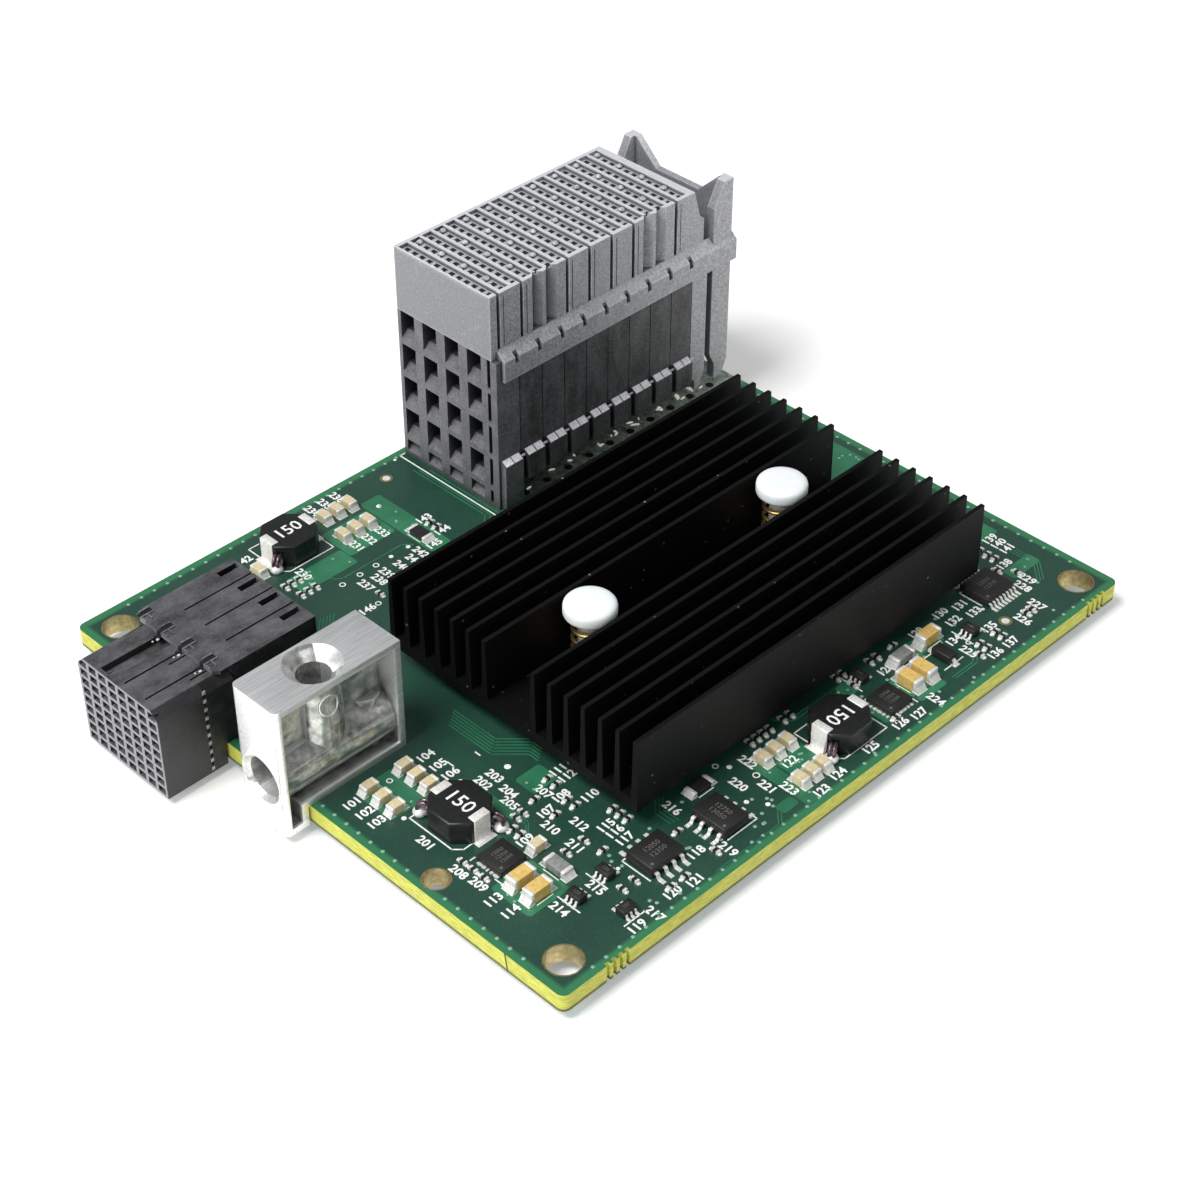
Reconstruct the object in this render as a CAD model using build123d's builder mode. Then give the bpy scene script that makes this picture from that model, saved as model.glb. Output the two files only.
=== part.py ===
from build123d import *
from math import cos, pi, sin
import os

os.makedirs("parts", exist_ok=True)

# The frame: the origin is the centre of the front corner hole, in the plane of the
# board's underside. X runs along the heat sink's fins, Y along the edge that the side
# connector overhangs, and Z points out of the face that carries the parts.

# Board, measured from its front corner
board_length = 95.0
board_width = 82.7
board_thick = 2.4
board_corner = 1.0
hole_inset = 3.7
corner_hole = 4.2
edge_hole = 3.1
edge_hole_spot = (2.2, 21.4)
tab_spots = [7.9, 90.4]
tab_bite = 0.5
tab_bite_deep = 0.4
tab_bite_pitch = 0.95
tab_bites = 4

# Everything under the board reaches down by the same amount
under_reach = 1.5

# Small stems, columns and coil ends are turned round on the object and eight-sided here
stem_sides = 8

# Controller chip and its heat sink
chip_spot = (51.7, 31.65)
substrate_side = 27.0
substrate_thick = 1.1
lid_side = 22.0
lid_thick = 1.1
pad_thick = 0.2
sink_length = 59.2
sink_shift = 0.5
sink_base = 1.5
fin_height = 8.4
fin_root = 0.9
fin_tip = 0.55
fin_pitch = 2.6
fins_per_bank = 7
bank_gap_pitches = 3

# Push pins that clamp the heat sink
pin_spacing = 32.5
pin_shaft = 2.8
pin_head = 6.3
pin_head_thick = 1.9
pin_head_round = 0.5
pin_head_proud = 0.7
pin_barb = 3.5
pin_barb_taper = 25
pin_split = 0.7
pin_clearance = 0.15
spring_wire = 0.5
spring_turns = 4
spring_runs_per_turn = 8

# Tall connector: wafers stand on the board, a moulded housing caps them
wafer_count = 9
wafer_pitch = 3.87
wafer_gap = 0.12
wafer_start = 51.5
wafer_front = 63.8
wafer_depth = 18.0
wafer_height = 22.0
foot_width = 3.05
foot_proud = 0.9
foot_low = 3.3
foot_high = 6.8
shoulder_rise = 0.6
undercut_depth = 2.8
window_columns = 4
window_rows = 5
window_pitch_y = 4.05
window_pitch_z = 4.9
window_wide = 2.5
window_tall = 4.1
window_deep = 2.6
window_sill = 1.0
window_edge = 0.6
slit_wide = 0.55
cap_height = 9.0
cap_side_wall = 0.85
row_pitch = wafer_pitch / 2
contact_count = 12
contact_pitch = 1.333
ridge = 0.45
groove_depth = 0.5
contact_hole = 0.72
contact_hole_depth = 2.2
rib_slot = 0.5
rib_slot_depth = 0.8
rib_slot_start = 1.35
key_groove = 1.3
key_groove_apart = 1.15
key_groove_slots = [2, 7]
ledge_notch = 0.7
ledge_notch_deep = 0.9
ledge_notch_shift = 1.7
ledge_reach = 1.4
ledge_slope = 1.2
ledge_drop = 2.9
end_block_top = 0.9
end_block_knee = 1.95
end_block_length = 2.8
end_block_shoulder = 3.8
end_block_fall = 0.7
tower_gap = 1.05
tower_length = 3.4
tower_wall = 1.0
tower_cheek = 1.3
ear_width = 3.6
ear_top = 1.6
ear_drop = 3.4
leg_slot_low = 5.5
leg_slot_high = 18.7
leg_clear = 1.3
leg_hook = 3.6
tail_side = 0.45
mezz_tails_deep = 3

# Side connector that overhangs the short edge
side_columns = 8
side_rows = 9
side_column_pitch = 1.8
side_row_pitch = 1.35
side_cell_wide = 1.3
side_cell_tall = 0.92
side_cell_deep = 2.4
side_overhang = 8.75
side_middle = 61.05
side_skin = 0.1
side_top = 9.6
side_drop = 2.85
side_lip_clear = 0.3
side_joint = 1.7
side_rear = 14.0
side_chamfer = 1.1
side_channel_middle = 63.35
side_channel_wide = 2.3
side_channel_deep = 0.9
side_channel_start = 0.5
side_groove_spots = [56.75, 60.5, 68.1]
side_groove_wide = 0.25
side_groove_deep = 0.3
side_groove_start = 0.8
side_tick_spots = [55.85, 59.6, 67.25]
side_tick_long = 2.3
side_seam_from_joint = 4.05
side_seam_marks = 9
side_seam_mark = 0.35
side_seam_deep = 0.25
shell_middle = 61.7
shell_width = 15.0
shell_lift = 0.5
shell_wall = 0.7
shell_clear = 0.15
shell_lip = 1.95
shell_slit_middle = 62.5
shell_slit_pitch = 3.85
shell_slits = 4
shell_slit_wide = 0.7
shell_seam_pitch = 3.77
shell_seams = 3
shell_seam_start = 2.3
shell_window_lag = 1.43
shell_window_wide = 0.9
shell_window_long = 2.8
shell_window_inset = 0.3
side_wafer_thick = 1.6
side_tails_deep = 3

# Guide block cast in metal, beside the side connector
guide_middle = 43.1
guide_width = 7.4
guide_overhang = 3.5
guide_length = 17.5
guide_height = 15.3
guide_drop = 2.65
guide_skin = 0.85
guide_web = 1.6
guide_bore = 5.0
guide_bore_chamfer = 0.6
guide_bore_height = 3.85
guide_tube_wall = 0.75
guide_bore_depth = 13.0
guide_top_hole = 4.0
guide_top_sink = 6.8
guide_top_place = 8.3
guide_boss_wall = 0.95
guide_edge_round = 0.7
guide_screw_place = 14.6
guide_screw = 2.5
guide_screw_head = 4.4
guide_screw_clear = 0.2
guide_screw_grip = 5.0
guide_column = 4.0
guide_column_height = 7.6
driver_slot = 0.7

# Chokes, each with a clip at both ends: x, y and turn from the board's front corner
choke_places = [(9.95, 26.0, -90), (49.7, 6.2, 0), (27.6, 76.4, 0)]
choke_length = 6.86
choke_width = 6.47
choke_corner = 1.7
choke_height = 3.0
choke_edge = 0.15
choke_arch_shift = 2.0
choke_arch_wide = 1.5
choke_arch_deep = 0.8
choke_arch_top = 2.1
clip_width = 2.3
clip_thick = 0.15
clip_foot = 0.75
clip_hook = 0.95
coil_end = 1.1
coil_end_tall = 1.3

# Ceramic chip parts: x, y and turn of each, and the sizes of each kind
small_cap_places = [
    (34.4, 77.9, 90),
    (36.45, 77.9, 90),
    (38.5, 77.9, 90),
    (33.7, 73.4, 90),
    (35.75, 73.4, 90),
    (37.8, 73.4, 90),
    (40.2, 9.2, 90),
    (42.25, 9.2, 90),
    (44.3, 9.2, 90),
    (40.6, 4.0, 90),
    (42.45, 4.0, 90),
    (44.3, 4.0, 90),
    (6.1, 32.2, 0),
    (6.1, 34.4, 0),
    (6.1, 36.6, 0),
    (11.1, 32.3, 0),
    (11.1, 34.4, 0),
    (11.1, 36.5, 0),
    (12.9, 17.1, 0),
    (21.8, 75.2, 90),
]
small_cap_size = (2.0, 1.25, 1.2, 0.4)
large_cap_places = [(8.25, 14.75, 0), (8.25, 12.2, 0), (69.6, 9.4, 0), (62.0, 6.0, 90), (64.5, 6.0, 90)]
large_cap_size = (3.2, 1.6, 1.6, 0.5)
bead_places = [(64.8, 9.4, 0), (12.3, 13.3, 90)]
bead_size = (3.2, 1.6, 1.1, 0.5)
resistor_places = [(32.1, 11.3, 0), (41.0, 67.2, 90)]
resistor_size = (3.2, 1.6, 0.6, 0.5)
tiny_length = 1.0
tiny_width = 0.5
tiny_tall = 0.35
tiny_rows = [
    # first place, step to the next, how many, turn
    ((41.4, 12.2), (1.1, 0.0), 4, 90),
    ((46.9, 12.2), (1.3, 0.0), 2, 90),
    ((56.7, 12.6), (1.1, 0.0), 2, 90),
    ((22.3, 70.8), (1.05, 0.0), 3, 90),
    ((22.7, 68.3), (1.15, 0.0), 3, 90),
    ((43.4, 66.9), (0.0, 1.2), 2, 0),
    ((22.9, 13.35), (0.0, 1.15), 3, 0),
    ((21.2, 22.75), (0.0, 1.35), 2, 0),
    ((20.4, 18.9), (0.0, 1.3), 2, 0),
    ((14.5, 22.1), (1.1, 0.0), 2, 90),
    ((15.0, 6.4), (1.85, 0.0), 2, 90),
    ((18.85, 3.0), (2.15, 0.0), 2, 0),
    ((73.5, 3.55), (3.0, 0.0), 2, 0),
    ((73.5, 4.65), (3.0, 0.0), 2, 0),
    ((82.0, 4.2), (1.0, 0.0), 2, 90),
    ((87.7, 13.4), (0.0, 1.15), 3, 0),
    ((5.85, 17.9), (0.0, 1.65), 3, 90),
    ((13.0, 19.9), (0.0, 1.2), 2, 0),
    ((17.85, 19.4), (0.0, 3.3), 2, 0),
    ((14.6, 14.4), (2.7, 0.0), 2, 90),
    ((17.6, 11.9), (7.7, -3.7), 2, 0),
    ((29.6, 61.7), (27.6, -51.3), 2, 90),
    ((56.3, 3.3), (9.6, 8.4), 2, 0),
    ((26.1, 3.3), (59.9, 8.4), 2, 90),
    ((61.7, 11.7), (1.3, 0.0), 2, 90),
    ((71.9, 3.3), (15.6, 6.5), 2, 90),
]

# Chips with gull wing leads: body size, clear height, then leads to a side, pitch and reach
lead_thick = 0.18
so_places = [(20.75, 7.2, 0), (29.9, 6.2, 90)]
so_body = (4.9, 3.9, 1.4)
so_leads = (4, 1.27, 0.42, 1.05)
tssop_places = [(82.2, 10.4, 0)]
tssop_body = (5.0, 4.4, 0.95)
tssop_leads = (8, 0.65, 0.26, 1.0)
sc_places = [(10.7, 8.9, 90), (15.3, 9.2, 90), (13.0, 3.9, 0), (74.4, 6.8, 90), (58.6, 10.6, 90)]
sc_body = (2.0, 1.25, 0.9)
sc_leads = (3, 0.65, 0.26, 0.42)
diode_places = [(68.6, 6.1, 90)]
diode_body = (2.7, 1.6, 1.1)
diode_leads = (0.5, 0.55)
chip_standoff = 0.12
flat_places = [(9.0, 18.5), (57.9, 5.6)]
flat_side = 3.8
flat_height = 0.85

# Heights that everything above the board shares
board_top = board_thick
substrate_base = board_top
lid_base = substrate_base + substrate_thick
pad_base = lid_base + lid_thick
sink_under = pad_base + pad_thick
sink_floor = sink_under + sink_base
sink_top = sink_floor + fin_height
pin_head_top = sink_top + pin_head_proud
pin_head_under = pin_head_top - pin_head_thick


def spot(x, y, z=0.0):
    """A place given from the board's front corner, in the part's own frame."""
    return (x - hole_inset, y - hole_inset, z)


def turned(places):
    """Places with a turn about Z, from the board's front corner into the part's own frame."""
    return [Location(spot(x, y), (0, 0, turn)) for x, y, turn in places]


def funnel(wide, tall, deep, lean):
    """Cuts a four-sided hole that narrows to a point, as the mouth that leads a contact in."""
    Wedge(
        wide,
        deep,
        tall,
        wide / 2,
        tall / 2,
        wide / 2,
        tall / 2,
        rotation=(lean, 0, 0),
        align=(Align.CENTER, Align.MIN, Align.CENTER),
        mode=Mode.SUBTRACT,
    )


def save(builder, name):
    """Labels a finished piece and writes it under its node's name."""
    builder.part.label = name
    export_step(builder.part, "parts/" + name + ".step")


corner_spots = [
    spot(hole_inset, hole_inset),
    spot(board_length - hole_inset, hole_inset),
    spot(hole_inset, board_width - hole_inset),
]
chip_centre = spot(*chip_spot)
pin_spots = [
    (chip_centre[0] - pin_spacing / 2, chip_centre[1]),
    (chip_centre[0] + pin_spacing / 2, chip_centre[1]),
]
guide_x = spot(-guide_overhang, 0)[0]
guide_y = spot(0, guide_middle)[1]
guide_screw_spot = (guide_x + guide_screw_place, guide_y)

# Circuit board: one outline with every hole in it, and the scallops of the break-off tabs
with BuildPart() as board:
    with BuildSketch():
        with Locations(spot(board_length / 2, board_width / 2)):
            RectangleRounded(board_length, board_width, board_corner)
        with Locations(*corner_spots):
            Circle(corner_hole / 2, mode=Mode.SUBTRACT)
        with Locations(spot(*edge_hole_spot)):
            Circle(edge_hole / 2, mode=Mode.SUBTRACT)
        with Locations(*pin_spots):
            Circle(pin_shaft / 2 + pin_clearance, mode=Mode.SUBTRACT)
        with Locations(guide_screw_spot):
            Circle(guide_screw / 2 + guide_screw_clear, mode=Mode.SUBTRACT)
        for tab in tab_spots:
            with Locations(spot(tab, 0)):
                with GridLocations(tab_bite_pitch, 1, tab_bites, 1):
                    Rectangle(tab_bite, 2 * tab_bite_deep, mode=Mode.SUBTRACT)
    extrude(amount=board_thick)
save(board, "circuit_board")

# Controller: substrate, metal lid and the pad that carries its heat up
with BuildPart() as substrate:
    with BuildSketch(Plane.XY.offset(substrate_base)):
        with Locations(chip_centre[:2]):
            Rectangle(substrate_side, substrate_side)
    extrude(amount=substrate_thick)
save(substrate, "controller_substrate")

with BuildPart() as lid:
    with BuildSketch(Plane.XY.offset(lid_base)):
        with Locations(chip_centre[:2]):
            Rectangle(lid_side, lid_side)
    extrude(amount=lid_thick)
save(lid, "controller_lid")

with BuildPart() as thermal_pad:
    with BuildSketch(Plane.XY.offset(pad_base)):
        with Locations(chip_centre[:2]):
            Rectangle(lid_side - 2 * lid_thick, lid_side - 2 * lid_thick)
    extrude(amount=pad_thick)
save(thermal_pad, "thermal_pad")

# Heat sink: one extruded section, two banks of tapering fins with the pin channel between
bank_width = (fins_per_bank - 1) * fin_pitch
sink_width = 2 * bank_width + bank_gap_pitches * fin_pitch + fin_root
bank_offset = (bank_width + bank_gap_pitches * fin_pitch) / 2
sink_start = chip_centre[0] + sink_shift - sink_length / 2

with BuildPart() as heat_sink:
    with BuildSketch(Plane.YZ.offset(sink_start)):
        with Locations((chip_centre[1], sink_under)):
            Rectangle(sink_width, sink_base, align=(Align.CENTER, Align.MIN))
        for bank in (-bank_offset, bank_offset):
            for index in range(fins_per_bank):
                fin_y = chip_centre[1] + bank + (index - (fins_per_bank - 1) / 2) * fin_pitch
                with BuildLine():
                    Polyline(
                        (fin_y - fin_root / 2, sink_floor),
                        (fin_y + fin_root / 2, sink_floor),
                        (fin_y + fin_tip / 2, sink_top),
                        (fin_y - fin_tip / 2, sink_top),
                        close=True,
                    )
                make_face()
    extrude(amount=sink_length)
    with BuildSketch(Plane.XY.offset(sink_under)):
        with Locations(*pin_spots):
            Circle(pin_shaft / 2 + pin_clearance)
    extrude(amount=sink_base, mode=Mode.SUBTRACT)
save(heat_sink, "heat_sink")

# Push pin: a turned head and shaft with a split barb that snaps under the board
with BuildPart() as pin:
    with BuildSketch(Plane.XZ):
        with BuildLine():
            Polyline(
                (0, pin_head_under),
                (pin_head / 2, pin_head_under),
                (pin_head / 2, pin_head_top - pin_head_round),
                (pin_head / 2 - pin_head_round, pin_head_top),
                (0, pin_head_top),
                close=True,
            )
        make_face()
    revolve(axis=Axis.Z)
    with BuildSketch():
        RegularPolygon(pin_shaft / 2, stem_sides)
    extrude(amount=pin_head_under)
    with BuildSketch():
        RegularPolygon(pin_barb / 2, stem_sides)
    extrude(amount=-under_reach, taper=pin_barb_taper)
    with BuildSketch(Plane.XY.offset(-under_reach)):
        Rectangle(pin_split, 2 * pin_barb)
    extrude(amount=under_reach + board_thick / 2, mode=Mode.SUBTRACT)

with BuildPart() as push_pins:
    with Locations(*pin_spots):
        add(pin.part)
save(push_pins, "push_pins")

# Spring under each head: an open coil between the sink's base and the head, bent in short runs
spring_radius = pin_shaft / 2 + pin_clearance + spring_wire
spring_rise = pin_head_under - sink_floor - 2 * spring_wire
spring_runs = spring_turns * spring_runs_per_turn
coil_points = []
for index in range(spring_runs + 1):
    turn = 2 * pi * index / spring_runs_per_turn
    climb = spring_rise * index / spring_runs
    coil_points.append((spring_radius * cos(turn), spring_radius * sin(turn), climb))
with BuildPart() as spring:
    with BuildLine() as coil:
        Polyline(*coil_points)
    with BuildSketch(Plane(origin=coil.line @ 0, x_dir=(1, 0, 0), z_dir=coil.line % 0)):
        Rectangle(spring_wire, spring_wire)
    sweep(transition=Transition.RIGHT)

with BuildPart() as push_pin_springs:
    with Locations(*[(x, y, sink_floor + spring_wire) for x, y in pin_spots]):
        add(spring.part)
save(push_pin_springs, "push_pin_springs")

# Tall connector, places shared by its pieces
wafer_x0 = spot(wafer_start, 0)[0]
wafer_y0 = spot(0, wafer_front)[1]
wafer_y1 = wafer_y0 + wafer_depth
stack_length = wafer_count * wafer_pitch
wafer_top = board_top + wafer_height
cap_top = wafer_top + cap_height
wafer_thick = wafer_pitch - wafer_gap
foot_inset = (wafer_thick - foot_width) / 2


def wafer_outline(base_edge):
    """Side view of one wafer: a slab whose front lower corner is cut back to base_edge."""
    Polyline(
        (wafer_y0, wafer_top),
        (wafer_y0, board_top + foot_low),
        (base_edge, board_top + foot_low),
        (base_edge, board_top),
        (wafer_y1, board_top),
        (wafer_y1, wafer_top),
        close=True,
    )


def foot_outline(foot_base):
    """Side view of the foot that stands proud of a wafer's front, with a sloping shoulder."""
    Polyline(
        (wafer_y0, foot_base),
        (wafer_y0 - foot_proud, foot_base),
        (wafer_y0 - foot_proud, board_top + foot_high),
        (wafer_y0, board_top + foot_high + shoulder_rise),
        close=True,
    )


# End wafer: its open side shows a lattice of windows with sloping sills, and narrow slits,
# and its foot runs down to the board
with BuildPart() as end_wafer:
    with BuildSketch(Plane.YZ.offset(wafer_x0)):
        with Locations((wafer_y0, board_top)):
            Rectangle(wafer_depth, wafer_height, align=(Align.MIN, Align.MIN))
    extrude(amount=wafer_thick)
    for row in range(window_rows):
        lintel = wafer_top - row * window_pitch_z
        sill = max(lintel - window_tall, board_top + window_edge)
        for column in range(window_columns):
            jamb = wafer_y1 - window_edge - column * window_pitch_y
            with BuildSketch(Plane.XZ.offset(-jamb)):
                with BuildLine():
                    Polyline(
                        (wafer_x0, lintel),
                        (wafer_x0, sill),
                        (wafer_x0 + window_sill, sill + window_sill),
                        (wafer_x0 + window_deep, sill + window_sill),
                        (wafer_x0 + window_deep, lintel),
                        close=True,
                    )
                make_face()
            extrude(amount=window_wide, mode=Mode.SUBTRACT)
        with BuildSketch(Plane.YZ.offset(wafer_x0)):
            with Locations((wafer_y0 + 2 * slit_wide, lintel)):
                Rectangle(slit_wide, lintel - sill, align=(Align.MIN, Align.MAX))
        extrude(amount=window_deep, mode=Mode.SUBTRACT)
    with BuildSketch(Plane.YZ.offset(wafer_x0 + foot_inset)):
        with BuildLine():
            foot_outline(board_top)
        make_face()
    extrude(amount=foot_width)
save(end_wafer, "mezz_end_wafer")

# The other wafers, each with a narrower foot in front
with BuildPart() as wafers:
    for index in range(1, wafer_count):
        with BuildSketch(Plane.YZ.offset(wafer_x0 + index * wafer_pitch)):
            with BuildLine():
                wafer_outline(wafer_y0 + undercut_depth)
            make_face()
        extrude(amount=wafer_thick)
        with BuildSketch(Plane.YZ.offset(wafer_x0 + index * wafer_pitch + foot_inset)):
            with BuildLine():
                foot_outline(board_top + foot_low)
            make_face()
        extrude(amount=foot_width)
save(wafers, "mezz_wafers")

# Tail tips of the tall connector under the board
tail_run = wafer_depth - undercut_depth - 2 * contact_pitch
with BuildPart() as mezz_tails:
    with BuildSketch():
        with Locations((wafer_x0 + stack_length / 2, wafer_y1 - contact_pitch - tail_run / 2)):
            with GridLocations(wafer_pitch, tail_run / (mezz_tails_deep - 1), wafer_count, mezz_tails_deep):
                Rectangle(tail_side, tail_side)
    extrude(amount=-under_reach)
save(mezz_tails, "mezz_tail_tips")

# Housing of the tall connector: cap, ledge, end block and guide tower in one moulding
cap_y0 = wafer_y0 + cap_side_wall
cap_x0 = wafer_x0
cap_x1 = cap_x0 + stack_length
grid_middle = (cap_x0 + stack_length / 2, (cap_y0 + wafer_y1) / 2)
tower_x1 = cap_x1 + end_block_length + tower_gap + tower_length
tower_x0 = tower_x1 - tower_length
ledge_top = wafer_top + ledge_slope
ledge_base = wafer_top - ledge_drop
cheek_front = wafer_y0
cheek_back = wafer_y1


def end_block_outline():
    """Front view of the block that closes the cap, its shoulder falling to the tower's gap."""
    Polyline(
        (cap_x1, wafer_top),
        (cap_x1, cap_top),
        (cap_x1 + end_block_top, cap_top),
        (cap_x1 + end_block_knee, cap_top - end_block_shoulder),
        (cap_x1 + end_block_length, cap_top - end_block_shoulder - end_block_fall),
        (cap_x1 + end_block_length, wafer_top),
        close=True,
    )


def cheek_outline():
    """Front view of one cheek of the tower: legs, slot between them, and the ear's flank."""
    Polyline(
        (cap_x1, wafer_top),
        (cap_x1, board_top + leg_hook),
        (cap_x1 + tower_wall, board_top + leg_hook - tower_wall),
        (cap_x1 + tower_wall, board_top + leg_clear),
        (cap_x1 + end_block_length - tower_wall, board_top + leg_clear),
        (cap_x1 + end_block_length, board_top + leg_hook),
        (cap_x1 + end_block_length, board_top + leg_slot_high),
        (tower_x0, board_top + leg_slot_high),
        (tower_x0, board_top + leg_slot_low),
        (tower_x0 + tower_wall, board_top + leg_hook),
        (tower_x0 + tower_wall, board_top + leg_clear),
        (tower_x1 - tower_wall, board_top + leg_clear),
        (tower_x1, board_top + leg_hook),
        (tower_x1, cap_top),
        (tower_x1 - ear_top, cap_top),
        (tower_x0, cap_top - ear_drop),
        (tower_x0, wafer_top),
        close=True,
    )


with BuildPart() as mezz_housing:
    # The cap over the wafers
    with BuildSketch(Plane.XY.offset(wafer_top)):
        with Locations((cap_x0, cap_y0)):
            Rectangle(stack_length, wafer_y1 - cap_y0, align=(Align.MIN, Align.MIN))
    extrude(amount=cap_height)
    # The end block, across the full depth
    with BuildSketch(Plane.XZ.offset(-wafer_y1)):
        with BuildLine():
            end_block_outline()
        make_face()
    extrude(amount=wafer_y1 - cap_y0)
    # Two cheeks and the back wall of the tower
    for cheek_end in (cheek_front + tower_cheek, cheek_back):
        with BuildSketch(Plane.XZ.offset(-cheek_end)):
            with BuildLine():
                cheek_outline()
            make_face()
        extrude(amount=tower_cheek)
    with BuildSketch(Plane.YZ.offset(tower_x1 - tower_wall)):
        with BuildLine():
            Polyline(
                (cheek_front, board_top + leg_slot_low),
                (cheek_front, cap_top),
                (cheek_front + ear_top, cap_top),
                (cheek_front + ear_top + ear_width, cap_top - ear_drop),
                (cheek_back - ear_top - ear_width, cap_top - ear_drop),
                (cheek_back - ear_top, cap_top),
                (cheek_back, cap_top),
                (cheek_back, board_top + leg_slot_low),
                close=True,
            )
        make_face()
    extrude(amount=tower_wall)
    # The ledge that runs along the front and over the wafers' upper edge
    with BuildSketch(Plane.YZ.offset(cap_x0 + foot_proud)):
        with BuildLine():
            Polyline(
                (cap_y0, ledge_top),
                (cap_y0 - ledge_reach, ledge_top - ledge_slope),
                (cap_y0 - ledge_reach, ledge_base),
                (wafer_y0 - wafer_gap, ledge_base),
                (wafer_y0 - wafer_gap, wafer_top),
                (cap_y0, wafer_top),
                close=True,
            )
        make_face()
    extrude(amount=tower_x1 + tower_wall / 2 - cap_x0 - foot_proud)
    # Grooves across the cap leave a ridge over each row, and every row has its contact holes
    with BuildSketch(Plane.XY.offset(cap_top)):
        with Locations(grid_middle):
            with GridLocations(row_pitch, 1, 2 * wafer_count, 1):
                Rectangle(row_pitch - ridge, contact_count * contact_pitch)
    extrude(amount=-groove_depth, mode=Mode.SUBTRACT)
    # Contact holes narrow to a point, as the funnels that lead a pin in
    with Locations((*grid_middle, cap_top - groove_depth)):
        with GridLocations(row_pitch, contact_pitch, 2 * wafer_count, contact_count):
            funnel(contact_hole, contact_hole, contact_hole_depth, -90)
    # Slots between the ribs of the front face, with keyed grooves at two of the places
    for index in range(wafer_count):
        slot_x = cap_x0 + wafer_pitch * index + rib_slot_start
        with BuildSketch(Plane.XY.offset(cap_top)):
            if index in key_groove_slots:
                for side in (-key_groove_apart, key_groove_apart):
                    with Locations((slot_x + side, cap_y0)):
                        Rectangle(key_groove, key_groove, rotation=45)
            else:
                with Locations((slot_x, cap_y0)):
                    Rectangle(rib_slot, 2 * rib_slot_depth)
        extrude(amount=ledge_top - cap_top, mode=Mode.SUBTRACT)
    # Small notches in the ledge's slope, one beside each slot
    with BuildSketch(Plane.XY.offset(ledge_top)):
        for index in range(wafer_count):
            notch_x = cap_x0 + wafer_pitch * index + rib_slot_start + ledge_notch_shift
            with Locations((notch_x, cap_y0 - ledge_reach)):
                Rectangle(ledge_notch, ledge_reach)
    extrude(amount=-ledge_slope - ledge_notch_deep, mode=Mode.SUBTRACT)
save(mezz_housing, "mezz_housing")

# Side connector, places shared by its pieces
side_y = spot(0, side_middle)[1]
side_width = side_columns * side_column_pitch + 2 * side_skin
side_x0 = spot(-side_overhang, 0)[0]
side_joint_x = spot(side_joint, 0)[0]
side_rear_x = spot(side_rear, 0)[0]
side_edge_x = spot(0, 0)[0] - side_lip_clear
side_roof = board_top + side_top
side_floor = board_top - side_drop
side_tall = side_top + side_drop


def roof_strip(start, middle, long, wide):
    """A strip along X on the current sketch, from start, centred on middle from the board's edge."""
    with Locations((start, spot(0, middle)[1])):
        Rectangle(long, wide, align=(Align.MIN, Align.CENTER))


# Front housing: the long side view, stepped over the board's edge, then cells and channels
with BuildPart() as side_housing:
    with BuildSketch(Plane.XZ.offset(-(side_y + side_width / 2))):
        with BuildLine():
            Polyline(
                (side_x0, side_floor),
                (side_x0, side_roof),
                (side_joint_x, side_roof),
                (side_joint_x, board_top),
                (side_edge_x, board_top),
                (side_edge_x, side_floor),
                close=True,
            )
        make_face()
    extrude(amount=side_width)
    long_edges = side_housing.edges().filter_by(Axis.X).group_by(Axis.Z)[-1]
    chamfer(long_edges, side_chamfer)
    mouth = Plane((side_x0, side_y, side_floor + side_tall / 2), x_dir=(0, 1, 0), z_dir=(1, 0, 0))
    with Locations(mouth):
        with GridLocations(side_column_pitch, side_row_pitch, side_columns, side_rows):
            funnel(side_cell_wide, side_cell_tall, side_cell_deep, 90)
    # One wide channel along the roof, and fine grooves that end in short ticks
    with BuildSketch(Plane.XY.offset(side_roof)):
        channel_start = side_x0 + side_channel_start
        roof_strip(channel_start, side_channel_middle, side_joint_x - channel_start, side_channel_wide)
    extrude(amount=-side_channel_deep, mode=Mode.SUBTRACT)
    lip_x0 = side_joint_x - shell_lip
    with BuildSketch(Plane.XY.offset(side_roof)):
        for groove in side_groove_spots:
            groove_start = side_x0 + side_groove_start
            roof_strip(groove_start, groove, side_joint_x - groove_start, side_groove_wide)
        for tick in side_tick_spots:
            roof_strip(lip_x0 - side_tick_long, tick, side_tick_long, side_groove_wide)
    extrude(amount=-side_groove_deep, mode=Mode.SUBTRACT)
    # A row of small square marks down the flank, where the housing's two halves meet
    with BuildSketch(Plane.XZ.offset(-(side_y - side_width / 2))):
        with Locations((side_joint_x - side_seam_from_joint, side_floor + side_tall / 2)):
            with GridLocations(1, side_tall / (side_seam_marks + 1), 1, side_seam_marks):
                Rectangle(side_seam_mark, side_seam_mark)
    extrude(amount=-side_seam_deep, mode=Mode.SUBTRACT)
save(side_housing, "side_front_housing")

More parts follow.
